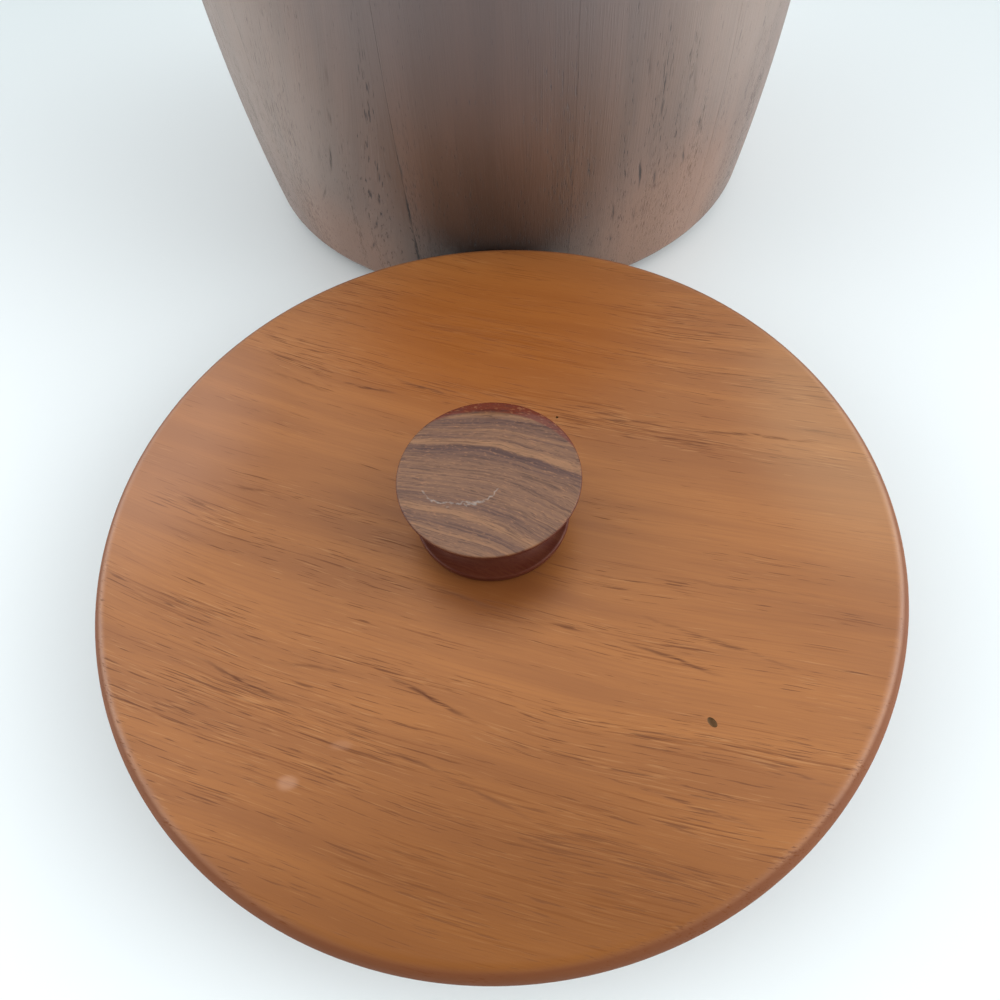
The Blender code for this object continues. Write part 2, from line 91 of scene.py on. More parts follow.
# How porous the wood is at distances in millimetres round from the wall's front, and so on round the back
WALL_TRAILS = ((-80, 0.5), (-60, 0.9), (-45, 0.35), (-42, 0.55), (-40, 1.0), (-38.5, 0.5), (-36, 0.2),
               (-34, 0.9), (-32, 0.85), (-30, 0.3), (-27, 0.75), (-15, 0.6), (0, 0.5), (15, 0.6), (27, 0.8),
               (32, 0.85), (36, 0.6), (41, 0.95), (44, 0.6), (50, 0.95), (53, 0.6), (58, 0.9), (62, 0.6),
               (66, 0.8), (80, 0.5))
# Rows of open pores as (start, end, strength), each place in millimetres round from the front and up.
# The three that follow each other down from (-28.5, 64) are a glued joint that has opened a little.
WALL_DASHES = (((-45, 83), (-47, 74), 0.35), ((-49, 70), (-49, 62), 0.6), ((-51, 58), (-56, 44), 0.85),
               ((-58, 41), (-66, 30), 0.5), ((-57, 56), (-60, 45), 0.4), ((-36, 52), (-37, 46), 0.7),
               ((-38, 43), (-38.5, 38), 0.7), ((-41, 33), (-43, 27), 0.8), ((-44, 26), (-48.5, 15), 0.7),
               ((-33, 53), (-32.5, 48), 0.5), ((-28.5, 64), (-28.3, 46), 0.6), ((-28.3, 48), (-28.7, 30), 1),
               ((-28.7, 31), (-29, 12), 1.0), ((-26, 44), (-26, 37), 0.5), ((-22.5, 40), (-23.5, 19), 0.5),
               ((44, 84), (44.5, 69), 0.45), ((50, 68), (51, 60), 0.6), ((60, 77), (62.5, 59), 0.35),
               ((66.5, 58), (67.5, 50), 0.6), ((45.5, 52), (46.5, 37), 0.95), ((51.5, 46), (53, 36), 0.65),
               ((62, 49), (63.5, 40), 0.7), ((37.5, 38), (38.5, 28), 0.75), ((60, 30), (60, 23), 0.5),
               ((46, 33), (46.5, 24), 0.5), ((38, 25), (39, 19), 0.6), ((31, 26), (32, 19), 0.6))
# Painted light and shade as (middle, half width and height, tone, strength): a painted grey reflection of
# the table high up at the front, painted shade from the lid at the front of the foot, a painted orange
# reflection of the lid low down at both sides and a painted pale sheen at both sides above that
WALL_PAINTED_LIGHT = (((0, 120), (75, 75), "#6b6365", 0.55), ((-2, 4), (38, 72), "#191718", 0.75),
              ((-78, 64), (40, 56), "#9c8c80", 0.3), ((80, 92), (38, 56), "#9c8c80", 0.25),
              ((64, 20), (42, 42), "#97633f", 0.3), ((-60, 12), (34, 32), "#8f5e3f", 0.3))
# The heights between which the pores get fewer, and how porous the wood has to be for pores at either
PORES_THIN_OUT = (45, 90)
PORES_FEWER = (0.8, 1.25)
# The lines of the stave left of the front one spread from this place towards the foot, as flat-sawn
# wood's do: number of the stave, distance of the place from the front and height, then how they spread
SPREAD_STAVE = -1.0
SPREAD_FROM = -28.45
SPREAD_HEIGHT = 98
SPREAD_LINEAR = 0.0044
SPREAD_CURVE = 0.000374
SPREAD_REACH = 16


def arc(centre, radius, start, end, steps):
    """Points of an arc about a (radius, height) centre, with angles up from the outward direction."""
    angles = [start + (end - start) * step / steps for step in range(steps + 1)]
    return [(centre[0] + radius * math.cos(a), centre[1] + radius * math.sin(a)) for a in angles]


def bow_tilt(height, inset=0.0):
    """Angle of the bowed wall's normal at a height, on the curve that lies inset from its face."""
    return math.asin((height - BELLY_HEIGHT) / (BOW_RADIUS - inset))


def wall_radius(height, inset=0.0):
    """Radius of the bowed wall at a height, on the curve that lies inset from its face."""
    return BOW_CENTRE + (BOW_RADIUS - inset) * math.cos(bow_tilt(height, inset))


def rounded(corners, steps=5):
    """An outline through (radius, height, rounding) corners, with an arc where a rounding is given."""
    points = []
    for number, (radius, height, rounding) in enumerate(corners):
        here = Vector((radius, height))
        if not rounding:
            points.append(tuple(here))
            continue
        back = (Vector(corners[number - 1][:2]) - here).normalized()
        ahead = (Vector(corners[(number + 1) % len(corners)][:2]) - here).normalized()
        half = back.angle(ahead) / 2
        centre = here + (back + ahead).normalized() * rounding / math.sin(half)
        spoke = here + back * rounding / math.tan(half) - centre
        turn = spoke.angle_signed(here + ahead * rounding / math.tan(half) - centre)
        for step in range(steps + 1):
            angle = -turn * step / steps
            points.append((centre.x + spoke.x * math.cos(angle) - spoke.y * math.sin(angle),
                           centre.y + spoke.x * math.sin(angle) + spoke.y * math.cos(angle)))
    return points


def add(tree, kind, inputs=None, operation=None, **settings):
    """Add a node with its settings, and link or set its inputs. A node stands for its first output.

    A kind that doesn't say Node itself is a kind of ShaderNode.
    """
    made = tree.nodes.new(kind if "Node" in kind else "ShaderNode" + kind)
    if operation:
        made.operation = operation
    for setting, value in settings.items():
        setattr(made, setting, value)
    for socket, value in (inputs or {}).items():
        if isinstance(value, bpy.types.Node):
            value = value.outputs[0]
        if isinstance(value, bpy.types.NodeSocket):
            tree.links.new(value, made.inputs[socket])
        else:
            made.inputs[socket].default_value = value
    return made


def paint(code):
    """An sRGB hex colour as a linear one."""
    parts = [int(code[place:place + 2], 16) / 255 for place in (1, 3, 5)]
    return (*[p / 12.92 if p <= 0.04045 else ((p + 0.055) / 1.055) ** 2.4 for p in parts], 1.0)


def shape_tree(name, **inputs):
    """A new tree that makes a shape from inputs of these kinds, and the sockets that give them."""
    tree = bpy.data.node_groups.new(name, "GeometryNodeTree")
    for label, kind in inputs.items():
        tree.interface.new_socket(label, in_out="INPUT", socket_type="NodeSocket" + kind)
    tree.interface.new_socket("Shape", in_out="OUTPUT", socket_type="NodeSocketGeometry")
    return tree, add(tree, "NodeGroupInput").outputs


def give(tree, shape, finish):
    """Let a tree give a shape in its finish, as a plain mesh."""
    real = add(tree, "GeometryNodeRealizeInstances", {"Geometry": shape})
    finished = add(tree, "GeometryNodeSetMaterial", {"Geometry": real, "Material": finish})
    add(tree, "NodeGroupOutput", {"Shape": finished})
    return tree


def lathe_tree():
    """A tree that turns an outline, drawn as (radius, 0, height) points, about the upright axis."""
    tree, given = shape_tree("turned on a lathe", Outline="Geometry", Facets="Int", Start="Float",
                             Sweep="Float", Centre="Vector", Finish="Material")
    place = add(tree, "GeometryNodeInputPosition")
    size = add(tree, "GeometryNodeAttributeDomainSize", {"Geometry": given["Outline"]})
    points = size.outputs["Point Count"]
    columns = add(tree, "Math", {0: given["Facets"], 1: 1}, "ADD")
    sheet = add(tree, "GeometryNodeMeshGrid",
                {"Size X": 1, "Size Y": 1, "Vertices X": points, "Vertices Y": columns})
    from_corner = add(tree, "VectorMath", {0: place, 1: (0.5, 0.5, 0)}, "ADD")
    share = add(tree, "SeparateXYZ", {0: from_corner})
    last = add(tree, "Math", {0: points, 1: 1}, "SUBTRACT")
    row = add(tree, "Math", {0: share.outputs["X"], 1: last}, "MULTIPLY")
    whole_row = add(tree, "FunctionNodeFloatToInt", {0: row}, rounding_mode="ROUND")
    point = add(tree, "GeometryNodeSampleIndex",
                {"Geometry": given["Outline"], "Value": place, "Index": whole_row}, data_type="FLOAT_VECTOR")
    angle = add(tree, "Math", {0: share.outputs["Y"], 1: given["Sweep"], 2: given["Start"]}, "MULTIPLY_ADD")
    turned_point = add(tree, "VectorRotate", {"Vector": point, "Angle": angle}, rotation_type="Z_AXIS")
    moved = add(tree, "VectorMath", {0: turned_point, 1: given["Centre"]}, "ADD")
    shape = add(tree, "GeometryNodeSetPosition", {"Geometry": sheet, "Position": moved})
    closed = add(tree, "GeometryNodeMergeByDistance", {"Geometry": shape, "Distance": SAME_PLACE})
    return give(tree, closed, given["Finish"])


LATHE = lathe_tree()


def grown(name, start_mesh, tree, inputs):
    """The plain mesh that a tree makes of a starting mesh."""
    blank = bpy.data.objects.new(name, start_mesh)
    bpy.context.scene.collection.objects.link(blank)
    modifier = blank.modifiers.new(name, "NODES")
    modifier.node_group = tree
    sockets = {item.name: item.identifier for item in tree.interface.items_tree if item.in_out == "INPUT"}
    for label, value in inputs.items():
        modifier[sockets[label]] = value
    bpy.context.view_layer.update()
    mesh = bpy.data.meshes.new_from_object(blank.evaluated_get(bpy.context.evaluated_depsgraph_get()))
    bpy.data.objects.remove(blank)
    return mesh


def placed(name, mesh):
    """An object of a mesh with its holes capped, its faces outwards and only its sharp edges hard."""
    shape = bmesh.new()
    shape.from_mesh(mesh)
    bmesh.ops.holes_fill(shape, edges=[edge for edge in shape.edges if edge.is_boundary])
    bmesh.ops.recalc_face_normals(shape, faces=shape.faces)
    shape.to_mesh(mesh)
    shape.free()
    mesh.shade_smooth()
    mesh.set_sharp_from_angle(angle=SHARP)
    piece = bpy.data.objects.new(name, mesh)
    bpy.context.scene.collection.objects.link(piece)
    return piece


def turned(name, outline, finish, facets=TURN_FACETS, centre=(0.0, 0.0, 0.0), start=0.0, sweep=FULL_TURN):
    """A turned piece: an outline of (radius, height) points, closed unless it starts on the axis."""
    closing = [outline[0]] if outline[0][0] > 0 else []
    points = [(radius, 0.0, height) for radius, height in outline + closing]
    line = bpy.data.meshes.new(name)
    line.from_pydata(points, [(number, number + 1) for number in range(len(points) - 1)], [])
    inputs = {"Facets": facets, "Start": start, "Sweep": sweep, "Centre": centre, "Finish": finish}
    return placed(name, grown(name, line, LATHE, inputs))


def stands_for(piece, body, slot, *nodes):
    """Let a piece ride on its body in place of its CAD nodes, which it hides."""
    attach(piece, body)
    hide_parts(*nodes)


def fresh(name, roughness, ior=1.5, metallic=0.0):
    """A new material and its tree and shader, with the numbers that are the same all over it."""
    material = bpy.data.materials.new(name)
    material.use_nodes = True
    shader = material.node_tree.nodes["Principled BSDF"]
    shader.inputs["Roughness"].default_value = roughness
    shader.inputs["IOR"].default_value = ior
    shader.inputs["Metallic"].default_value = metallic
    return material, material.node_tree, shader


def dress(tree, shader, colour, rough=None, relief=None):
    """Link a finish's colour, roughness and relief to its shader."""
    for socket, source in (("Base Color", colour), ("Roughness", rough), ("Normal", relief)):
        if isinstance(source, bpy.types.Node):
            source = source.outputs[0]
        if source is not None:
            tree.links.new(source, shader.inputs[socket])


def streaks(tree, grain, size, seed, detail=2.0):
    """Noise drawn out along the grain, with streaks of about (length, width) millimetres."""
    stretched = add(tree, "VectorMath",
                    {0: grain, 1: (1 / size[0], 1 / size[1], 1 / size[1]), 2: (seed, seed, seed)},
                    "MULTIPLY_ADD")
    return add(tree, "TexNoise", {"Vector": stretched, "Scale": 1, "Detail": detail})


def inked(tree, colour, ink, pattern, start, full, share=1.0):
    """Lay an ink over a colour where a pattern rises from start to full, up to a share of it."""
    held = add(tree, "MapRange", {0: pattern, 1: start, 2: full, 4: share}, interpolation_type="SMOOTHSTEP")
    return add(tree, "Mix", {0: held, 6: colour, 7: ink}, data_type="RGBA").outputs[2], held


def nearness(tree, place, middle, half_size, turn=0.0):
    """How far a place is from the middle of an ellipse, as a share of the way to its border."""
    local = add(tree, "Mapping",
                {0: place, 1: middle, 2: (0, 0, turn), 3: (*half_size, 1)}, vector_type="TEXTURE")
    return add(tree, "VectorMath", {0: local}, "LENGTH").outputs["Value"]


def teak(name, lay, tones, gloss, ior, lines, pitting=0.03, dashes=(), spots=(), soaked_and_shaded_bands=()):
    """Teak, from where its grain lies in millimetres, how porous it is there and where its marks lie.

    tones are its light and deep wood, growth lines, open pores and pale flecks. lines are the sizes and
    shares of growth lines, flecks and pores, and pitting is the pores' depth. dashes are rows of pores
    and spots are stains and patches of painted light and shade at places of their own. The last argument
    gives bands by height where the wood is darker: end grain at the wall's rim, the lowest part of the
    wall's foot and a painted shade round the lid's edge, as (height where that starts, height where it is
    full, tone, strength).
    """
    material, tree, shader = fresh(name, gloss, ior)
    light, deep, growth, pore, fleck = [paint(tone) for tone in tones]
    grain, porous, flat = lay(tree)
    colour = inked(tree, light, deep, streaks(tree, grain, (130, 9), 3.1), 0.35, 0.65, 0.8)[0]
    colour, fibres = inked(tree, colour, deep, streaks(tree, grain, (20, 0.4), 7.7, 3), 0.38, 0.72, 0.5)
    held = []
    for ink, seed, (size, share) in zip((growth, fleck, pore), (12.3, 51.7, 21.9), lines):
        pattern = streaks(tree, grain, size, seed)
        density = add(tree, "Math", {0: porous, 1: POROUS_SHIFT, 2: pattern}, "MULTIPLY_ADD")
        colour, laid = inked(tree, colour, ink, density, PORE_START, PORE_FULL, share)
        held.append(laid)
    waver = add(tree, "TexNoise", {"Vector": flat, "Scale": 1 / WAVER_LENGTH, "Detail": 1})
    waver = add(tree, "VectorMath", {0: waver.outputs["Color"], 1: (0.5, 0.5, 0.5)}, "SUBTRACT")
    wavering = add(tree, "VectorMath", {0: waver, 1: (WAVER, WAVER, 0), 2: flat}, "MULTIPLY_ADD")
    rows = 0.0
    for start, end, share in dashes:
        run = Vector(end) - Vector(start)
        far = nearness(tree, wavering, (Vector(start) + run / 2).to_3d(), (run.length / 2, DASH_HALF_WIDTH),
                       math.atan2(run.y, run.x))
        near = add(tree, "MapRange", {0: far, 1: 0.1, 2: 1.0, 3: share, 4: 0.0})
        rows = add(tree, "Math", {0: near, 1: rows}, "MAXIMUM")
    broken = add(tree, "MapRange", {0: streaks(tree, grain, (5, 0.4), 41.3), 1: 0.32, 2: 0.5})
    rows = add(tree, "Math", {0: rows, 1: broken}, "MULTIPLY")
    drawn = add(tree, "Math", {0: rows, 1: held[-1]}, "MAXIMUM")
    # Stains, and patches of painted light and shade, each round a place of its own
    for middle, half_size, tone, share in spots:
        far = nearness(tree, wavering, (*middle, 0), half_size)
        colour = inked(tree, colour, paint(tone), far, 1.0, 0.3, share)[0]
    colour = inked(tree, colour, pore, rows, 0.0, 1.0)[0]
    place = add(tree, "TexCoord").outputs["Object"]
    height = add(tree, "SeparateXYZ", {0: place}).outputs["Z"]
    soaked_and_shaded = 0.0
    # Darker bands by height: end grain, and a painted shade round the lid's edge
    for start, full, tone, share in soaked_and_shaded_bands:
        colour, held_here = inked(tree, colour, paint(tone), height, start * MM, full * MM, share)
        soaked_and_shaded = add(tree, "Math", {0: held_here, 1: soaked_and_shaded}, "MAXIMUM")
    handled = add(tree, "TexNoise", {"Vector": grain, "Scale": 1 / 14, "Detail": 2})
    rough = gloss - GLOSS_SWING / 2
    for mask, dulling in ((handled, GLOSS_SWING), (drawn, PORE_DULLNESS), (soaked_and_shaded, DARK_BAND_DULLNESS)):
        rough = add(tree, "Math", {0: mask, 1: dulling, 2: rough}, "MULTIPLY_ADD")
    height = add(tree, "Math", {0: drawn, 1: PORE_RELIEF, 2: fibres}, "MULTIPLY_ADD")
    relief = add(tree, "Bump", {"Height": height, "Strength": 0.5, "Distance": pitting * MM})
    dress(tree, shader, colour, rough, relief)
    return material


def trail_ramp(tree, across, trails):
    """How porous the wood is across the grain, from (millimetres, density) stops in rising order."""
    low, high = trails[0][0], trails[-1][0]
    ramp = add(tree, "ValToRGB", {0: add(tree, "MapRange", {0: across, 1: low, 2: high})})
    stops = ramp.color_ramp.elements
    for place, density in trails[1:-1]:
        stops.new((place - low) / (high - low))
    for stop, (place, density) in zip(stops, trails):
        stop.color = (density, density, density, 1)
    return ramp


def stave_grain(tree):
    """Upright grain round the wall, with each stave from its own place in the plank."""
    place = add(tree, "TexCoord").outputs["Object"]
    local = add(tree, "VectorMath", {0: place, 1: (1 / MM, -1 / MM, 1 / MM)}, "MULTIPLY")
    parts = add(tree, "SeparateXYZ", {0: local})
    height = parts.outputs["Z"]
    angle = add(tree, "Math", {0: parts.outputs["X"], 1: parts.outputs["Y"]}, "ARCTAN2")
    round_wall = add(tree, "Math", {0: angle, 1: BELLY_RADIUS / MM}, "MULTIPLY")
    from_joint = add(tree, "Math", {0: angle, 1: STAVE_SKEW}, "SUBTRACT")
    counted = add(tree, "Math", {0: from_joint, 1: len(STAVES) / FULL_TURN, 2: 0.5}, "MULTIPLY_ADD")
    stave = add(tree, "Math", {0: counted}, "FLOOR")
    spreads = add(tree, "Math", {0: stave, 1: SPREAD_STAVE, 2: 0.1}, "COMPARE")
    down = add(tree, "Math", {0: SPREAD_HEIGHT, 1: height}, "SUBTRACT")
    down = add(tree, "Math", {0: down, 1: 0.0}, "MAXIMUM")
    spread = add(tree, "Math", {0: down, 1: SPREAD_CURVE, 2: SPREAD_LINEAR}, "MULTIPLY_ADD")
    spread = add(tree, "Math", {0: spread, 1: down}, "MULTIPLY")
    spread = add(tree, "Math", {0: spread, 1: spreads, 2: 1.0}, "MULTIPLY_ADD")
    aside = add(tree, "Math", {0: round_wall, 1: SPREAD_FROM}, "SUBTRACT")
    aside = add(tree, "Math", {0: aside, 1: -SPREAD_REACH}, "MAXIMUM")
    drawn_in = add(tree, "Math", {0: aside, 1: spread}, "DIVIDE")
    moved = add(tree, "Math", {0: drawn_in, 1: aside}, "SUBTRACT")
    across = add(tree, "Math", {0: moved, 1: round_wall}, "ADD")
    level = add(tree, "VectorMath", {0: local, 1: (1, 1, 0)}, "MULTIPLY")
    depth = add(tree, "VectorMath", {0: level}, "LENGTH").outputs["Value"]
    in_plank = add(tree, "Math", {0: stave, 1: PLANK_APART, 2: across}, "MULTIPLY_ADD")
    grain = add(tree, "CombineXYZ", {0: height, 1: in_plank, 2: depth})
    patches = streaks(tree, grain, (60, 7), 5.5)
    repeated = add(tree, "Math", {0: across, 1: WALL_TRAILS[0][0], 2: WALL_TRAILS[-1][0]}, "WRAP")
    trails = trail_ramp(tree, repeated, WALL_TRAILS)
    porous = add(tree, "Math", {0: patches, 1: PATCHINESS, 2: trails}, "MULTIPLY_ADD")
    thinned = add(tree, "MapRange", {0: height, 1: PORES_THIN_OUT[0], 2: PORES_THIN_OUT[1],
                                     3: PORES_FEWER[0], 4: PORES_FEWER[1]})
    porous = add(tree, "Math", {0: porous, 1: thinned}, "SUBTRACT")
    flat = add(tree, "CombineXYZ", {0: round_wall, 1: height})
    return grain, porous, flat


# Teak with a thin oil finish: a dull grey-brown wall with dark pores in upright trails
wall_teak = teak("oiled teak staves", stave_grain, ("#6d5142", "#5e4638", "#4c352b", "#160c08", "#7d6250"),
                 gloss=0.44, ior=1.74, pitting=0.08, dashes=WALL_DASHES, spots=WALL_PAINTED_LIGHT,
                 soaked_and_shaded_bands=((133.4, 134.6, "#33211a", 0.6), (3.5, 1.6, "#33211a", 0.6)),
                 lines=(((60, 0.8), 0.35), ((7, 0.3), 0.35), ((4, 0.28), 0.8)))
rim_height = BODY_HEIGHT - RIM_ROUND
foot_height = SHELL_BOTTOM + FOOT_ROUND
rebate_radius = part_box("base_board")[1].x + GAP
seat_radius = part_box("liner")[1].x + GAP
stave_outline = arc((wall_radius(rim_height, RIM_ROUND), rim_height), RIM_ROUND,
                    math.pi / 2, bow_tilt(rim_height, RIM_ROUND), 8)
stave_outline += arc((BOW_CENTRE, BELLY_HEIGHT), BOW_RADIUS, bow_tilt(rim_height, RIM_ROUND),
                     bow_tilt(foot_height, FOOT_ROUND), 40)[1:-1]
stave_outline += arc((wall_radius(foot_height, FOOT_ROUND), foot_height), FOOT_ROUND,
                     bow_tilt(foot_height, FOOT_ROUND), -math.pi / 2, 16)
stave_outline += [(rebate_radius, SHELL_BOTTOM), (rebate_radius, LEDGE_HEIGHT)]
stave_outline += arc((BOW_CENTRE, BELLY_HEIGHT), BOW_RADIUS - SHELL_WALL, bow_tilt(LEDGE_HEIGHT, SHELL_WALL),
                     bow_tilt(FLANGE_LEDGE, SHELL_WALL), 24)
stave_outline += [(seat_radius, FLANGE_LEDGE), (seat_radius, BODY_HEIGHT - EASED_EDGE),
                  (seat_radius + EASED_EDGE, BODY_HEIGHT)]
stave_pitch = FULL_TURN / len(STAVES)
stave_split = GLUE_LINE / (2 * BELLY_RADIUS)
for number, node in enumerate(STAVES):
    stave = turned("teak_" + node, stave_outline, wall_teak, facets=TURN_FACETS // len(STAVES),
                   start=-math.pi / 2 + STAVE_SKEW + stave_pitch * (number - 0.5) + stave_split,
                   sweep=stave_pitch - 2 * stave_split)
    stands_for(stave, "canister", "shell_teak", node)

# Base board
# A disc of teak-faced plywood, sanded and glued in the staves' rebate, with a shallow recess below
# for the cork. Only its underside shows.
BASE_RECESS_TOP = 3.0 * MM
base_low, base_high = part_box("base_board")
cork_low, cork_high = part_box("cork_foot")
PLY_GRAIN_TURN = math.radians(24)


def in_mm(tree, centre=(0, 0, 0), turn=0.0):
    """A place on a piece in millimetres from a centre, turned about the upright axis."""
    place = add(tree, "TexCoord").outputs["Object"]
    return add(tree, "Mapping", {0: place, 1: centre, 2: (0, 0, turn), 3: (MM, MM, MM)},
               vector_type="TEXTURE")


def board_grain(centre, turn, bend=0.0, trails=None, wander=6.0):
    """Grain that runs across a flat board, in millimetres from its middle, and its trails of pores."""
    def lay(tree):
        local = in_mm(tree, centre, turn)
        along, beside, up = add(tree, "SeparateXYZ", {0: local}).outputs
        squared = add(tree, "Math", {0: along, 1: along}, "MULTIPLY")
        across = add(tree, "Math", {0: squared, 1: -bend, 2: beside}, "MULTIPLY_ADD")
        slow = streaks(tree, local, (70, 30), 1.7, 1)
        across = add(tree, "Math", {0: slow, 1: wander, 2: across}, "MULTIPLY_ADD")
        across = add(tree, "Math", {0: across, 1: wander / 2}, "SUBTRACT")
        grain = add(tree, "CombineXYZ", {0: along, 1: across, 2: up})
        porous = streaks(tree, grain, (30, 8), 9.3)
        if trails:
            trail = trail_ramp(tree, across, trails)
            porous = add(tree, "Math", {0: porous, 1: PATCHINESS, 2: trail}, "MULTIPLY_ADD")
            porous = add(tree, "Math", {0: porous, 1: PATCHINESS / 2}, "SUBTRACT")
        flat = add(tree, "VectorMath", {0: in_mm(tree, centre), 1: (1, 1, 0)}, "MULTIPLY")
        return grain, porous, flat
    return lay


# Teak veneer, sanded and left bare: a matt mid brown
ply_teak = teak("teak plywood, sanded", board_grain((0, 0, 0), PLY_GRAIN_TURN),
                ("#a5764f", "#8f6240", "#6b452b", "#4a2f1e", "#b58a62"), gloss=0.6, ior=1.45,
                lines=(((80, 1.2), 0.5), ((8, 0.4), 0.3), ((6, 0.3), 0.6)))
base_outline = rounded([
    (0.0, base_high.z, 0),
    (base_high.x, base_high.z, EASED_EDGE),
    (base_high.x, base_low.z, EASED_EDGE),
    (cork_high.x + GAP, base_low.z, EASED_EDGE),
    (cork_high.x + GAP, BASE_RECESS_TOP, 0),
    (0.0, BASE_RECESS_TOP, 0),
])
stands_for(turned("plywood_base", base_outline, ply_teak), "canister", "base_ply", "base_board")

# Cork foot
# A disc cut from pressed cork granules, its lower edge rounded, glued in the base's recess so that the
# canister stands on it.
CORK_GRANULE = 1.6
CORK_ROUND = 0.5 * MM


def agglomerate(name, granule, tones, edge, roughness, relief_depth):
    """Granules of about a width in millimetres, in two tones and all between, with seams between them."""
    material, tree, shader = fresh(name, roughness)
    granules = {"Vector": in_mm(tree), "Scale": 1 / granule}
    cells = add(tree, "TexVoronoi", granules)
    walls = add(tree, "TexVoronoi", granules, feature="DISTANCE_TO_EDGE")
    tone = add(tree, "SeparateColor", {0: cells.outputs["Color"]})
    colour = inked(tree, paint(tones[0]), paint(tones[1]), tone.outputs[0], 0.0, 1.0)[0]
    colour, seam = inked(tree, colour, paint(edge), walls, 0.12, 0.0)
    height = add(tree, "Math", {0: seam, 1: -1.0, 2: tone.outputs[1]}, "MULTIPLY_ADD")
    relief = add(tree, "Bump", {"Height": height, "Strength": 0.6, "Distance": relief_depth})
    dress(tree, shader, colour, relief=relief)
    return material


# Pressed cork: a matt tan ground with darker granules and dark binder between them
cork = agglomerate("pressed cork", CORK_GRANULE, ("#a77c52", "#8a603b"), "#4d3220", 0.9, 0.12 * MM)
cork_outline = rounded([
    (0.0, cork_high.z, 0),
    (cork_high.x, cork_high.z, 0),
    (cork_high.x, cork_low.z, CORK_ROUND),
    (0.0, cork_low.z, 0),
])
stands_for(turned("cork_disc", cork_outline, cork), "canister", "cork", "cork_foot")

# Insulation
# A disc of moulded foam beads under the liner and two half sleeves round it, dropped in loose before
# the liner. None of it shows when the canister is whole.
FOAM_BEAD = 3.0
# Expanded polystyrene: white beads pressed flat against each other, matt
bead_foam = agglomerate("expanded foam beads", FOAM_BEAD, ("#efece2", "#e2ded2"), "#c9c4b5", 0.85, 0.2 * MM)
for node in ("foam_disc", "foam_sleeve_left", "foam_sleeve_right", "lid_foam"):
    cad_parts[node].material_slots[0].material = bead_foam

# Liner
# A tub moulded in ivory plastic, with a tapered wall so that it leaves its mould, a round inside
# corner, a rolled lip and a flange that hangs in the rim's rebate. The mark of the mould's gate is
# in the middle of its floor.
LINER_WALL = 2 * MM
LINER_TAPER = 3 * MM
LINER_CORNER = 8 * MM
LIP_ROUND = FLANGE_THICKNESS * 0.45
FLANGE_ROUND = 0.5 * MM
FLANGE_CORNER = 0.4 * MM
LINER_ROOM = 3 * MM
LINER_TOP_RADIUS = wall_radius(FLANGE_LEDGE, SHELL_WALL) - LINER_ROOM
MOUTH_RADIUS = LINER_TOP_RADIUS - LINER_WALL
GATE_RADIUS = 4 * MM
GATE_DEPTH = 0.4 * MM
GATE_SLOPE = 0.6 * MM
FINE_ROUND = 0.2 * MM
# In moulded plastic, how long its flow's clouds and how wide its skin's grains are, in millimetres
FLOW_LENGTH = 50
SKIN_GRAIN = 0.9
liner_low, liner_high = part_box("liner")


def moulded(name, tones, roughness):
    """Moulded plastic, flowing softly from tone to tone, with an even gloss and an orange-peel skin."""
    material, tree, shader = fresh(name, roughness, ior=1.49)
    shader.inputs["Subsurface Weight"].default_value = 0.08
    shader.inputs["Subsurface Radius"].default_value = (1.5 * MM, 1.2 * MM, 0.8 * MM)
    shader.inputs["Subsurface Scale"].default_value = 1.0
    local = in_mm(tree)
    flow = add(tree, "TexNoise", {"Vector": local, "Scale": 1 / FLOW_LENGTH, "Detail": 1})
    colour = inked(tree, paint(tones[0]), paint(tones[1]), flow, 0.35, 0.7, 0.5)[0]
    skin = add(tree, "TexNoise", {"Vector": local, "Scale": 1 / SKIN_GRAIN, "Detail": 1})
    relief = add(tree, "Bump", {"Height": skin, "Strength": 0.15, "Distance": 0.02 * MM})
    dress(tree, shader, colour, relief=relief)
    return material


# Injection-moulded ABS: ivory, a soft even gloss with a fine skin
ivory_plastic = moulded("moulded ivory ABS", ("#e6dfce", "#ddd4bf"), 0.28)
liner_floor = liner_low.z + LINER_WALL
liner_outline = rounded([
    (0.0, liner_floor - GATE_DEPTH, 0),
    (GATE_RADIUS - GATE_SLOPE, liner_floor - GATE_DEPTH, FINE_ROUND),
    (GATE_RADIUS, liner_floor, FINE_ROUND),
    (LINER_TOP_RADIUS - LINER_TAPER - LINER_WALL, liner_floor, LINER_CORNER - LINER_WALL),
    (MOUTH_RADIUS, liner_high.z, LIP_ROUND),
    (liner_high.x, liner_high.z, FLANGE_ROUND),
    (liner_high.x, liner_high.z - FLANGE_THICKNESS, FLANGE_ROUND),
    (LINER_TOP_RADIUS, liner_high.z - FLANGE_THICKNESS, FLANGE_CORNER),
    (LINER_TOP_RADIUS - LINER_TAPER, liner_low.z, LINER_CORNER),
    (0.0, liner_low.z, 0),
], steps=10)
stands_for(turned("ivory_liner", liner_outline, ivory_plastic), "liner_tub", "liner_plastic", "liner")

# Lid board
# One round board of flat-sawn teak, 10 mm thick, turned with rounded edges and oiled to a satin. Its
# grain slopes down to the right as the lid lies. It has a small dent near the front right and a
# pinhole beyond the knob, and underneath a recess for the plug.
lid_low, lid_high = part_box("lid_board")
plug_low, plug_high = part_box("lid_plug")
LID_CENTRE = Vector((0.0, (lid_low.y + lid_high.y) / 2, 0.0))
LID_RADIUS = (lid_high.x - lid_low.x) / 2
LID_EDGE_ROUND = 4 * MM
LID_GRAIN_TURN = math.radians(-16)
LID_GRAIN_BEND = 0.0006
SOCKET_RADIUS = 8.3 * MM
SOCKET_DEPTH = 4.3 * MM
SCREW_HOLE_RADIUS = 2.5 * MM
PLUG_FLANGE_RADIUS = (plug_high.x - plug_low.x) / 2
# Dents as (place on the board, half length, half width, depth, turn)
LID_DENTS = (((47.6 * MM, -52.4 * MM), 1.25 * MM, 0.8 * MM, 0.5 * MM, math.radians(-50)),
             ((16.9 * MM, 29.6 * MM), 0.4 * MM, 0.35 * MM, 0.6 * MM, 0.0))
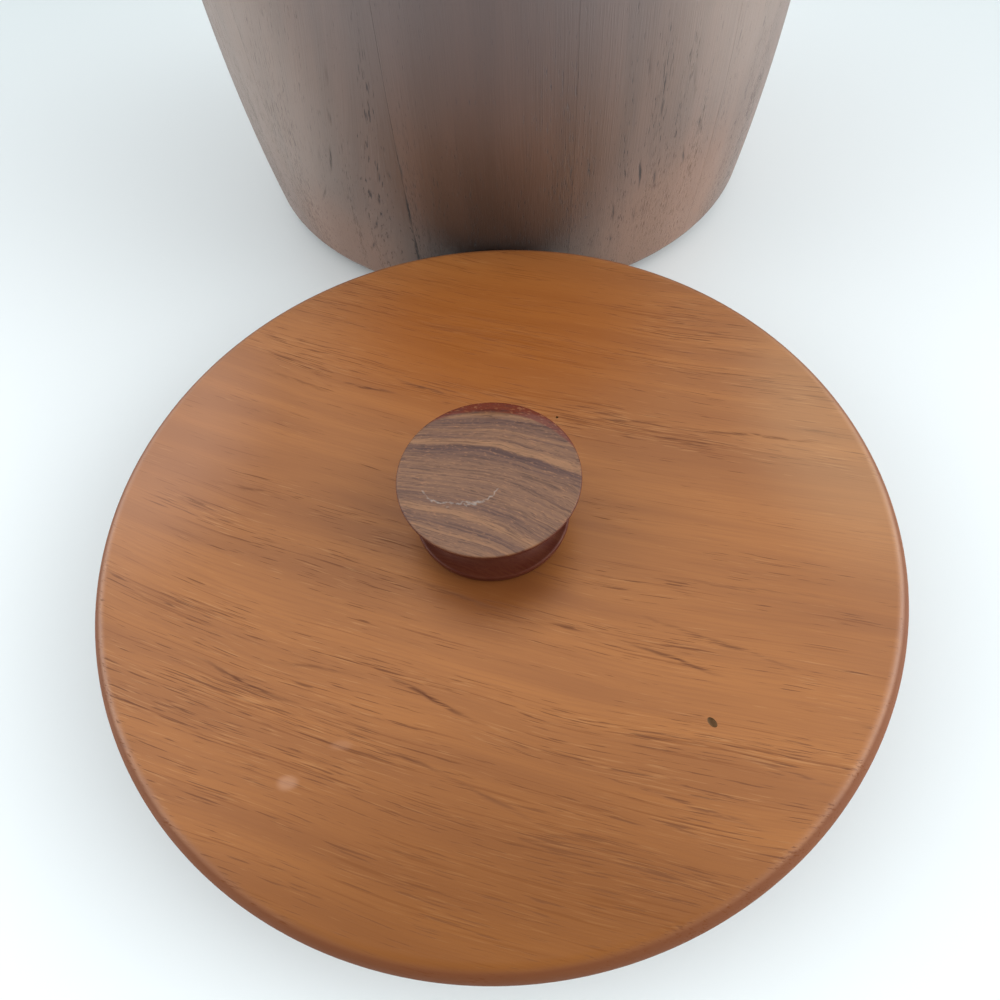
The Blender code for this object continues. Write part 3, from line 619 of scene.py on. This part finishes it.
# Across the grain from the board's middle in millimetres, and how porous it is there
LID_TRAILS = ((-100, 0.45), (-86, 0.55), (-81, 0.8), (-77, 0.45), (-71, 0.85), (-67, 0.45), (-61, 0.85),
              (-57, 0.45), (-53, 0.8), (-49, 0.4), (-44, 0.85), (-40, 0.4), (-33, 0.35), (-24, 0.7),
              (-20, 0.35), (-11, 0.45), (-7, 0.25), (6, 0.2), (20, 0.25), (28, 0.3), (31.5, 0.85),
              (36, 0.85), (39, 0.5), (50, 0.6), (58, 0.75), (64, 0.6), (100, 0.6))
# Rows of pores as (start, end, strength) in millimetres from the board's middle
LID_DASHES = (((-31, 45), (-10, 37), 0.9), ((-49, 45), (-24, 38), 0.8), ((-76, 53), (-38, 36), 0.5),
              ((18, 30), (52, 26), 0.6), ((40, 27), (95, 18), 0.7), ((-33, 67), (2, 60), 0.35),
              ((44, 58), (84, 47), 0.4), ((-76, 11), (-51, 4.5), 0.55), ((-27, -16), (9, -29), 0.6),
              ((9, -29), (27, -33), 0.7), ((27, -33), (55, -44), 0.8), ((-71, -36), (-38, -51), 0.85),
              ((-55, -38), (-27, -42), 0.5), ((-27, -40), (2, -55), 0.9), ((-29, -56), (-5, -64), 0.7),
              ((-16, -60), (16, -75), 0.5), ((27, -64), (60, -75), 0.6), ((27, -25), (76, -44), 0.6),
              ((49, -58), (75, -67), 0.55), ((27, -16), (91, -27), 0.4))
# Stains and painted light as (middle, half width and length, tone, strength): painted shade on the far side
# near the wall and in front, a painted shadow and reflection of the knob round its foot, a painted pale
# sheen towards both ends of the grain and two pale rubbed marks
LID_STAINS_AND_PAINTED_LIGHT = (((0, -108), (90, 70), "#74400f", 0.6), ((0, 62), (66, 48), "#8a4914", 0.6),
             ((1, -16), (24, 22), "#5e2f10", 0.75),
             ((-94, 30), (38, 62), "#c49780", 0.2), ((95, 28), (38, 62), "#c09a72", 0.25),
             ((-41.8, -65), (3.0, 1.8), "#dcb096", 0.2), ((-31.1, -57.6), (3.0, 1.5), "#d2a184", 0.12))
lid_grain = board_grain(LID_CENTRE, LID_GRAIN_TURN, LID_GRAIN_BEND, LID_TRAILS)
# Teak, planed flat and oiled to a satin: warm orange brown, with trails of short dark pores, and painted
# shade darkening the rounding of its edge all round
lid_teak = teak("satin-oiled teak board", lid_grain, ("#a06534", "#8b552d", "#743e14", "#5a2c08", "#b98453"),
                gloss=0.34, ior=1.42, lines=(((40, 0.6), 0.55), ((9, 0.35), 0.35), ((10, 0.34), 0.68)),
                dashes=LID_DASHES, spots=LID_STAINS_AND_PAINTED_LIGHT, soaked_and_shaded_bands=((26.99, 26.2, "#6a3510", 0.85),))
board_outline = rounded([
    (SOCKET_RADIUS, lid_high.z, 0),
    (LID_RADIUS, lid_high.z, LID_EDGE_ROUND),
    (LID_RADIUS, lid_low.z, LID_EDGE_ROUND),
    (PLUG_FLANGE_RADIUS + GAP, lid_low.z, EASED_EDGE),
    (PLUG_FLANGE_RADIUS + GAP, plug_high.z + GAP, 0),
    (SCREW_HOLE_RADIUS, plug_high.z + GAP, 0),
    (SCREW_HOLE_RADIUS, lid_high.z - SOCKET_DEPTH, 0),
    (SOCKET_RADIUS, lid_high.z - SOCKET_DEPTH, 0),
], steps=12)


def cutter(name, make, matrix, finish, **size):
    """The mesh of a simple shape to cut with. What it leaves has the finish."""
    shape = bmesh.new()
    make(shape, **size)
    shape.transform(matrix)
    mesh = bpy.data.meshes.new(name)
    shape.to_mesh(mesh)
    shape.free()
    mesh.materials.append(finish)
    return mesh


def boolean(piece, shape, operation):
    """Cut a shape out of a piece or weld it on, for good. The new faces keep the shape's finish."""
    tool = bpy.data.objects.new("tool", shape)
    bpy.context.scene.collection.objects.link(tool)
    modifier = piece.modifiers.new("cut", "BOOLEAN")
    modifier.operation = operation
    modifier.material_mode = "TRANSFER"
    modifier.object = tool
    bpy.context.view_layer.update()
    mesh = bpy.data.meshes.new_from_object(piece.evaluated_get(bpy.context.evaluated_depsgraph_get()))
    piece.modifiers.clear()
    piece.data = mesh
    mesh.shade_smooth()
    mesh.set_sharp_from_angle(angle=SHARP)
    bpy.data.objects.remove(tool)


# Dirt in the dents: brown and dull
dirt, _, dirt_shader = fresh("dirt in a dent", 0.8)
dirt_shader.inputs["Base Color"].default_value = paint("#60401c")
board = turned("teak_board", board_outline, lid_teak, centre=LID_CENTRE)
for (x, y), half_length, half_width, depth, turn in LID_DENTS:
    there = (Matrix.Translation((x, LID_CENTRE.y + y, lid_high.z)) @ Matrix.Rotation(turn, 4, "Z")
             @ Matrix.Diagonal((half_length, half_width, depth, 1)))
    dent = cutter("dent", bmesh.ops.create_icosphere, there, dirt, subdivisions=3, radius=1.0)
    boolean(board, dent, "DIFFERENCE")
stands_for(board, "lid", "lid_teak", "lid_board")

# Knob
# Turned from a darker, strongly figured piece of teak: a slightly domed cap, a hollowed neck, a thin
# foot and a spigot that is glued in the board's socket. It has a polished lacquer, with a pale scuff.
knob_low, knob_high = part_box("knob")
KNOB_RADIUS = 21.7 * MM
KNOB_DOME = 0.55 * MM
KNOB_EDGE_ROUND = 0.5 * MM
KNOB_NECK_RADIUS = 12.6 * MM
KNOB_FOOT_RADIUS = 19.3 * MM
KNOB_FOOT_EDGE = 1.4 * MM
KNOB_FOOT_ROUND = 0.6 * MM
SPIGOT_RADIUS = 8 * MM
KNOB_FACETS = 192
COVE_STEPS = 28
BOARD_CLEAR = lid_high.z + GAP
# The figure's lines in millimetres: how steeply they fall to the right and how that changes on the way to
# the front, how wide and high their knee in the middle is, how they lean downwards and how far they wander
KNOB_SLOPE = 0.276
KNOB_SLOPE_CHANGE = -0.012
KNOB_KNEE = 6.0
KNOB_KNEE_RISE = 0.13
KNOB_LEAN = 0.8
KNOB_WANDER = 2.6
# Growth lines, pale flecks and open pores as (tone, size, seed, detail, start, strength)
KNOB_LINES = (("#35170f", (18, 0.6), 8.8, 2, 0.52, 0.45), ("#9c6a48", (1.2, 0.35), 5.2, 2, 0.58, 0.4),
              ("#200c07", (2.4, 0.22), 6.1, 1, 0.6, 0.45))
# The far edge painted red, as shade where the cap mirrors the dark wall instead of the bright room, is all
# that lies outside this circle, in millimetres from the cap's middle
MIRROR_SHADE_MIDDLE = (-2.0, -8.8, 0)
MIRROR_SHADE_RADIUS = 27.5
# The scuff's lowest place before its ripple is added, how it rises to its ends, how far it ripples and
# at what distances from the lowest place it fades
SCUFF_LOWEST = (-6.5, -9.2)
SCUFF_RISE = 0.0006
SCUFF_RIPPLE = 2.6
SCUFF_FADES = (8.5, 10.5)
# Across the knob's figure from its middle in millimetres, and how pale the wood is there
KNOB_BANDS = ((-22, 0.5), (-19.5, 0.45), (-18.7, 0.7), (-17.8, 0.45), (-15.6, 0.25), (-14.6, 0.4),
              (-13.8, 0.8), (-12.4, 0.75), (-11.4, 0.4), (-9.5, 0.35), (-7, 0.5), (1.5, 0.55), (3.2, 0.4),
              (6.8, 0.15), (7.6, 0.7), (8.5, 0.9), (9.4, 0.5), (12, 0.4), (12.6, 0.7), (13.2, 0.35),
              (16, 0.25), (17.2, 0.6), (17.8, 0.3), (22, 0.3))


def knob_grain(tree):
    """The knob's flat-sawn figure: lines that lie level on the left and slope down to the right."""
    local = in_mm(tree, (0, LID_CENTRE.y, knob_high.z))
    x, y, z = add(tree, "SeparateXYZ", {0: local}).outputs
    slope = add(tree, "Math", {0: y, 1: KNOB_SLOPE_CHANGE, 2: KNOB_SLOPE}, "MULTIPLY_ADD")
    across = add(tree, "Math", {0: slope, 1: x, 2: y}, "MULTIPLY_ADD")
    knee = add(tree, "Math", {0: x, 1: x, 2: KNOB_KNEE ** 2}, "MULTIPLY_ADD")
    knee = add(tree, "Math", {0: knee}, "SQRT")
    slow = streaks(tree, local, (18, 6), 4.1, 3)
    for source, share in ((knee, KNOB_KNEE_RISE), (z, KNOB_LEAN), (slow, KNOB_WANDER)):
        across = add(tree, "Math", {0: source, 1: share, 2: across}, "MULTIPLY_ADD")
    middle = KNOB_KNEE_RISE * KNOB_KNEE + KNOB_WANDER / 2
    across = add(tree, "Math", {0: across, 1: middle}, "SUBTRACT")
    return add(tree, "CombineXYZ", {0: x, 1: across, 2: z}), x, y, z, across


def knob_teak(name, ior):
    """Dark figured teak: pale bands, painted red shade at the far edge, fine red-brown lines, a side partly
    in painted shade and a wavy scuff.
    """
    material, tree, shader = fresh(name, 0.07, ior)
    grain, x, y, depth, across = knob_grain(tree)
    bands = trail_ramp(tree, across, KNOB_BANDS)
    paleness = add(tree, "Math", {0: streaks(tree, grain, (30, 0.5), 2.2, 2), 1: 0.9, 2: bands},
                   "MULTIPLY_ADD")
    colour = inked(tree, paint("#4a2e29"), paint("#8c6242"), paleness, 0.35, 1.5)[0]
    level = add(tree, "CombineXYZ", {0: x, 1: y})
    past = nearness(tree, level, MIRROR_SHADE_MIDDLE, (MIRROR_SHADE_RADIUS, MIRROR_SHADE_RADIUS))
    # The far edge painted deep red: shade where the cap mirrors the dark wall instead of the bright room
    colour = inked(tree, colour, paint("#63281a"), past, 0.985, 1.01, 0.85)[0]
    for tone, size, seed, detail, start, share in KNOB_LINES:
        pattern = streaks(tree, grain, size, seed, detail)
        colour, pores = inked(tree, colour, paint(tone), pattern, start, 0.68, share)
    # Deep red-brown below the cap's top: the side's end grain, darkened further by painted shade under the
    # cap
    colour, below = inked(tree, colour, paint("#451408"), depth, -0.55, -0.8, 0.85)
    aside = add(tree, "Math", {0: x, 1: SCUFF_LOWEST[0]}, "SUBTRACT")
    sag = add(tree, "Math", {0: aside, 1: 4.0}, "POWER")
    sag = add(tree, "Math", {0: sag, 1: SCUFF_RISE, 2: SCUFF_LOWEST[1]}, "MULTIPLY_ADD")
    ripple = add(tree, "TexNoise", {"Vector": grain, "Scale": 0.6, "Detail": 3})
    sag = add(tree, "Math", {0: ripple, 1: SCUFF_RIPPLE, 2: sag}, "MULTIPLY_ADD")
    off = add(tree, "Math", {0: y, 1: sag}, "SUBTRACT")
    off = add(tree, "Math", {0: off}, "ABSOLUTE")
    reach = add(tree, "Math", {0: aside}, "ABSOLUTE")
    reach = add(tree, "MapRange", {0: reach, 1: SCUFF_FADES[0], 2: SCUFF_FADES[1], 4: 1.0})
    off = add(tree, "Math", {0: off, 1: reach}, "ADD")
    patchy = add(tree, "TexNoise", {"Vector": grain, "Scale": 0.9, "Detail": 2})
    off = add(tree, "Math", {0: patchy, 1: 1.6, 2: off}, "MULTIPLY_ADD")
    colour, rubbed = inked(tree, colour, paint("#c9c6bd"), off, 1.3, 0.6, 0.25)
    haze = add(tree, "TexNoise", {"Vector": grain, "Scale": 0.12, "Detail": 2})
    rough = add(tree, "MapRange", {0: haze, 1: 0.35, 2: 0.7, 3: 0.04, 4: 0.1})
    for mask, dulling in ((rubbed, 0.5), (pores, 0.2), (below, 0.4)):
        rough = add(tree, "Math", {0: mask, 1: dulling, 2: rough}, "MULTIPLY_ADD")
    relief = add(tree, "Bump", {"Height": pores, "Strength": 0.4, "Distance": 0.02 * MM}, invert=True)
    dress(tree, shader, colour, rough, relief)
    return material


dome_reach = KNOB_RADIUS - KNOB_EDGE_ROUND
dome_radius = (dome_reach ** 2 + KNOB_DOME ** 2) / (2 * KNOB_DOME)
cap_edge = knob_high.z - KNOB_DOME - KNOB_EDGE_ROUND
knob_outline = arc((0.0, knob_high.z - dome_radius), dome_radius, math.pi / 2,
                   math.pi / 2 - math.asin(dome_reach / dome_radius), 24)
knob_outline[0] = (0.0, knob_high.z)
knob_outline += arc((dome_reach, cap_edge), KNOB_EDGE_ROUND, math.pi / 2, -math.pi / 2, 16)[1:]
cove_top = cap_edge - KNOB_EDGE_ROUND
cove_bottom = BOARD_CLEAR + KNOB_FOOT_EDGE
for step in range(1, COVE_STEPS):
    angle = math.pi / 2 - math.pi * step / COVE_STEPS
    rest_radius = dome_reach if angle > 0 else KNOB_FOOT_RADIUS - KNOB_FOOT_ROUND
    knob_outline.append((rest_radius - (rest_radius - KNOB_NECK_RADIUS) * math.cos(angle),
                         (cove_top + cove_bottom) / 2 + (cove_top - cove_bottom) / 2 * math.sin(angle)))
knob_outline += arc((KNOB_FOOT_RADIUS - KNOB_FOOT_ROUND, cove_bottom - KNOB_FOOT_ROUND), KNOB_FOOT_ROUND,
                    math.pi / 2, 0.0, 6)
knob_outline += [(KNOB_FOOT_RADIUS, BOARD_CLEAR), (SPIGOT_RADIUS, BOARD_CLEAR), (SPIGOT_RADIUS, knob_low.z),
                 (SCREW_HOLE_RADIUS, knob_low.z), (SCREW_HOLE_RADIUS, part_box("knob_screw")[1].z + GAP),
                 (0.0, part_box("knob_screw")[1].z + GAP)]
# Dark teak, lacquered and polished: a grey-brown cap that mirrors the room a little
cap_teak = knob_teak("polished dark teak", ior=1.5)
# The same round its side, where the end grain has taken up the lacquer: dull and deep red-brown, the
# red-brown partly painted shade under the cap
side_teak = knob_teak("dark teak end grain", ior=1.2)
knob = turned("turned_knob", knob_outline, cap_teak, facets=KNOB_FACETS, centre=LID_CENTRE)
knob.data.materials.clear()
for finish in (cap_teak, side_teak):
    knob.data.materials.append(finish)
# The side's finish starts a hair's breadth down the cap's rounded edge
side_top = cap_edge + KNOB_EDGE_ROUND * 0.9
for face in knob.data.polygons:
    face.material_index = int(face.center.z < side_top)
stands_for(knob, "lid", "knob_teak", "knob")

# Knob screw and washer
# A zinc-plated wood screw with a washer under its head. It goes in from below, before the plug, and
# draws the knob down on to the board.
def clouded(name, tones, cloud, detail, cover, roughness, **kind):
    """One tone clouded by another, in clouds of about a width in millimetres that are duller too."""
    material, tree, shader = fresh(name, roughness[0], **kind)
    clouds = add(tree, "TexNoise", {"Vector": in_mm(tree), "Scale": 1 / cloud, "Detail": detail})
    colour = inked(tree, paint(tones[0]), paint(tones[1]), clouds, *cover)[0]
    rough = add(tree, "MapRange", {0: clouds, 1: 0.3, 2: 0.7, 3: roughness[0], 4: roughness[1]})
    dress(tree, shader, colour, rough)
    return material


# Zinc plate, bright-dipped: pale grey metal, a little cloudy
zinc = clouded("zinc-plated steel", ("#cfcdc4", "#a9a79c"), 2, 3, (0.35, 0.7), (0.24, 0.4), metallic=1.0)
for node in ("knob_screw", "knob_washer"):
    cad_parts[node].material_slots[0].material = zinc

# Plug
# A shallow pan moulded in the liner's ivory plastic, screwed into the board's recess by its flange
# and four counterbored bosses. A groove round it holds the gasket, and the lid lies on its rest ring.
PLUG_WALL = 2 * MM
PLUG_TAPER = 1 * MM
PLUG_CORNER = 3 * MM
PLUG_FLANGE_REACH = 4 * MM
REST_RING_WIDTH = 8 * MM
REST_RING_HEIGHT = 0.8 * MM
GROOVE_DEPTH = 0.8 * MM
BOSS_RADIUS = 5.6 * MM
BOSS_FACETS = 64
GROOVE_ROUND = 0.15 * MM
gasket_low, gasket_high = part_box("lid_gasket")
plug_top_radius = PLUG_FLANGE_RADIUS - PLUG_FLANGE_REACH
plug_bottom_radius = plug_top_radius - PLUG_TAPER


def plug_side(height):
    """Radius of the plug's tapered wall at a height."""
    return plug_bottom_radius + PLUG_TAPER * height / plug_high.z


groove_top = gasket_high.z + GAP
groove_bottom = gasket_low.z - GAP
groove_radius = plug_side(groove_top) - GROOVE_DEPTH
plug_floor = REST_RING_HEIGHT + PLUG_WALL
ring_outer = plug_side(PLUG_CORNER) - PLUG_CORNER
ring_inner = ring_outer - REST_RING_WIDTH
plug_outline = rounded([
    (0.0, plug_floor, 0),
    (plug_bottom_radius - PLUG_WALL, plug_floor, PLUG_CORNER - PLUG_WALL),
    (plug_top_radius - PLUG_WALL, plug_high.z, EASED_EDGE),
    (PLUG_FLANGE_RADIUS, plug_high.z, EASED_EDGE),
    (PLUG_FLANGE_RADIUS, lid_low.z, EASED_EDGE),
    (plug_side(lid_low.z), lid_low.z, EASED_EDGE),
    (plug_side(groove_top), groove_top, GROOVE_ROUND),
    (groove_radius, groove_top, 0),
    (groove_radius, groove_bottom, 0),
    (plug_side(groove_bottom), groove_bottom, GROOVE_ROUND),
    (plug_side(PLUG_CORNER), 0.0, PLUG_CORNER),
    (ring_inner, 0.0, EASED_EDGE),
    (ring_inner - REST_RING_HEIGHT, REST_RING_HEIGHT, EASED_EDGE),
    (GATE_RADIUS, REST_RING_HEIGHT, FINE_ROUND),
    (GATE_RADIUS - GATE_SLOPE, REST_RING_HEIGHT + GATE_DEPTH, FINE_ROUND),
    (0.0, REST_RING_HEIGHT + GATE_DEPTH, 0),
], steps=6)
plug = turned("ivory_plug", plug_outline, ivory_plastic, centre=LID_CENTRE)
SCREWS = sorted(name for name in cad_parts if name.startswith("plug_screw_"))
screw_low, screw_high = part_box(SCREWS[0])
SCREW_HEAD_RADIUS = (screw_high.x - screw_low.x) / 2
SCREW_HEAD_HEIGHT = 2.2 * MM
SCREW_HEAD_TOP = screw_low.z + SCREW_HEAD_HEIGHT
SCREW_SHANK = 1.75 * MM
screw_places = [(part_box(name)[0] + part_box(name)[1]) / 2 for name in SCREWS]


def turned_tool(name, outline, x, y):
    """The mesh of a small turned shape to weld on or cut with."""
    tool = turned(name, outline, ivory_plastic, facets=BOSS_FACETS, centre=(x, y, 0.0))
    mesh = tool.data
    bpy.data.objects.remove(tool)
    return mesh


boss = [(0.0, plug_high.z), (BOSS_RADIUS, plug_high.z), (BOSS_RADIUS, plug_floor - PLUG_WALL / 2),
        (0.0, plug_floor - PLUG_WALL / 2)]
bore = [(0.0, plug_high.z + GAP), (SCREW_SHANK + GAP, plug_high.z + GAP),
        (SCREW_SHANK + GAP, SCREW_HEAD_TOP + GAP), (SCREW_HEAD_RADIUS + GAP, SCREW_HEAD_TOP + GAP),
        (SCREW_HEAD_RADIUS + GAP, 0.0), (0.0, 0.0)]
for name, outline, operation in (("boss", boss, "UNION"), ("bore", bore, "DIFFERENCE")):
    for spot in screw_places:
        boolean(plug, turned_tool(name, outline, spot.x, spot.y), operation)
stands_for(plug, "lid", "liner_plastic", "lid_plug")

# Gasket
# A ring of black rubber with a round bulge, stretched into the plug's groove, that makes the lid
# seal in the liner's mouth.
gasket_radius = (gasket_high.x - gasket_low.x) / 2
gasket_middle = (gasket_low.z + gasket_high.z) / 2
GASKET_BULGE = 0.9 * MM
GASKET_ROUND = 0.6 * MM
# Nitrile rubber, moulded: dull black, a little grey with bloom
black_rubber = clouded("moulded black rubber", ("#1f1e1c", "#34322f"), 5, 4, (0.4, 0.75), (0.5, 0.7),
                       ior=1.52)
gasket_outline = rounded([
    (groove_radius + GAP, gasket_high.z, FINE_ROUND),
    (plug_side(groove_top) + GAP, gasket_high.z, 0),
    (gasket_radius, gasket_middle + GASKET_BULGE, GASKET_ROUND),
    (gasket_radius, gasket_middle - GASKET_BULGE, GASKET_ROUND),
    (plug_side(groove_bottom) + GAP, gasket_low.z, 0),
    (groove_radius + GAP, gasket_low.z, FINE_ROUND),
], steps=6)
gasket = turned("rubber_gasket", gasket_outline, black_rubber, centre=LID_CENTRE)
stands_for(gasket, "lid", "rubber", "lid_gasket")

# Plug screws
# Four zinc-plated pan-head screws with cross slots. They go up into the board from the bottoms of the
# plug's counterbores.
SLOT_WIDTH = 0.9 * MM
SLOT_LENGTH = 3.8 * MM
SLOT_DEPTH = 1.1 * MM
HEAD_ROUND = 1.1 * MM
TIP_RADIUS = SCREW_SHANK * 0.3
TIP_LENGTH = SCREW_SHANK * 1.5


def screw_tree(head):
    """A tree that sets one screw on every point of a mesh, each turned by chance."""
    tree, given = shape_tree("screws in their places", Places="Geometry", Seed="Int", Finish="Material")
    one = add(tree, "GeometryNodeObjectInfo", {"Object": head}, transform_space="RELATIVE")
    turn = add(tree, "FunctionNodeRandomValue",
               {"Min": (0, 0, 0), "Max": (0, 0, FULL_TURN), "Seed": given["Seed"]}, data_type="FLOAT_VECTOR")
    all_set = add(tree, "GeometryNodeInstanceOnPoints",
                  {"Points": given["Places"], "Instance": one.outputs["Geometry"], "Rotation": turn})
    return give(tree, all_set, given["Finish"])


shank_top = screw_high.z - screw_low.z
screw_outline = rounded([
    (0.0, shank_top, 0),
    (TIP_RADIUS, shank_top, 0),
    (SCREW_SHANK, shank_top - TIP_LENGTH, EASED_EDGE),
    (SCREW_SHANK, SCREW_HEAD_HEIGHT, FINE_ROUND),
    (SCREW_HEAD_RADIUS, SCREW_HEAD_HEIGHT, FINE_ROUND),
    (SCREW_HEAD_RADIUS, 0.0, HEAD_ROUND),
    (0.0, 0.0, 0),
], steps=6)
one_screw = turned("screw", screw_outline, zinc, facets=BOSS_FACETS)
for slot_size in ((SLOT_LENGTH, SLOT_WIDTH), (SLOT_WIDTH, SLOT_LENGTH)):
    box = Matrix.Diagonal((*slot_size, 2 * SLOT_DEPTH, 1))
    boolean(one_screw, cutter("slot", bmesh.ops.create_cube, box, zinc, size=1.0), "DIFFERENCE")
spots = bpy.data.meshes.new("screw places")
spots.from_pydata([(spot.x, spot.y, screw_low.z) for spot in screw_places], [], [])
screw_mesh = grown("plug_screws", spots, screw_tree(one_screw), {"Seed": 3, "Finish": zinc})
bpy.data.objects.remove(one_screw)
screws = placed("plug_screws", screw_mesh)
stands_for(screws, "lid", "zinc_steel", *SCREWS)

# Table, light and camera
# A white laminate table in a soft room that is brightest low down on both sides, fairly bright high
# up behind the canister and dim in front of it.
TABLE_BRIGHT_REACH = 0.2
TABLE_DIM_REACH = 0.5
TABLE_HALF = 3.0
# White laminate: a cool white with a soft gloss, and a painted pool of light round the lid that fades to a
# greyer white further off
table_material, table_tree, table_shader = fresh("white laminate table", 0.3)
table_place = add(table_tree, "TexCoord").outputs["Object"]
table_reach = add(table_tree, "VectorMath", {0: table_place, 1: LID_CENTRE}, "DISTANCE")
table_colour = inked(table_tree, paint("#eaeeee"), paint("#cbd2d2"), table_reach.outputs["Value"],
                     TABLE_BRIGHT_REACH, TABLE_DIM_REACH)[0]
dress(table_tree, table_shader, table_colour)
table_mesh = bpy.data.meshes.new("table")
table_mesh.from_pydata([(-TABLE_HALF, -TABLE_HALF, 0), (TABLE_HALF, -TABLE_HALF, 0),
                        (TABLE_HALF, TABLE_HALF, 0), (-TABLE_HALF, TABLE_HALF, 0)], [], [(0, 1, 2, 3)])
table_mesh.materials.append(table_material)
table = bpy.data.objects.new("table", table_mesh)
bpy.context.scene.collection.objects.link(table)

room = bpy.data.worlds.new("soft room")
bpy.context.scene.world = room
room.use_nodes = True
sky = room.node_tree
toward = add(sky, "TexCoord").outputs["Generated"]
# The room's glows as (clockwise from the far side, up from the table, strength), all equally soft
GLOWS = ((0, 65, 0.95), (300, 45, 0.8), (60, 45, 0.55), (45, 20, 0.4), (90, 8, 9.8), (135, 20, 0.6),
         (180, 20, 0.1), (225, 20, 0.5), (270, 8, 6.2), (315, 20, 0.3))
GLOW_FALL = 8.0
EVEN_LIGHT = 0.05
strength = EVEN_LIGHT
for clockwise, up, power in GLOWS:
    flat, tall = math.cos(math.radians(up)), math.sin(math.radians(up))
    direction = (math.sin(math.radians(clockwise)) * flat, math.cos(math.radians(clockwise)) * flat, tall)
    facing = add(sky, "VectorMath", {0: toward, 1: direction}, "DOT_PRODUCT")
    away = add(sky, "Math", {0: facing.outputs["Value"], 1: GLOW_FALL, 2: -GLOW_FALL}, "MULTIPLY_ADD")
    glow = add(sky, "Math", {0: away}, "EXPONENT")
    strength = add(sky, "Math", {0: glow, 1: power, 2: strength}, "MULTIPLY_ADD")
sky.nodes["Background"].inputs["Color"].default_value = paint("#f7fcff")
sky.links.new(strength.outputs[0], sky.nodes["Background"].inputs["Strength"])

CAMERA_PLACE = (0.01105, -0.29165, 0.18709)
CAMERA_YAW = math.radians(-5.380)
CAMERA_PITCH = math.radians(58.360)
CAMERA_ROLL = math.radians(5.348)
FOCAL_PIXELS = 740
PICTURE_PIXELS = 1000
SENSOR_WIDTH = 36
ahead = Vector((math.sin(CAMERA_YAW) * math.cos(CAMERA_PITCH), math.cos(CAMERA_YAW) * math.cos(CAMERA_PITCH),
                -math.sin(CAMERA_PITCH)))
level_right = Vector((math.cos(CAMERA_YAW), -math.sin(CAMERA_YAW), 0))
level_down = ahead.cross(level_right)
right = math.cos(CAMERA_ROLL) * level_right + math.sin(CAMERA_ROLL) * level_down
down = math.cos(CAMERA_ROLL) * level_down - math.sin(CAMERA_ROLL) * level_right
camera_data = bpy.data.cameras.new("camera")
camera_data.sensor_width = SENSOR_WIDTH
camera_data.lens = FOCAL_PIXELS / PICTURE_PIXELS * SENSOR_WIDTH
camera_data.clip_start = 0.01
camera = bpy.data.objects.new("camera", camera_data)
camera.matrix_world = Matrix.Translation(CAMERA_PLACE) @ Matrix((right, -down, -ahead)).transposed().to_4x4()
bpy.context.scene.collection.objects.link(camera)
bpy.context.scene.camera = camera
bpy.context.scene.view_settings.view_transform = "Standard"
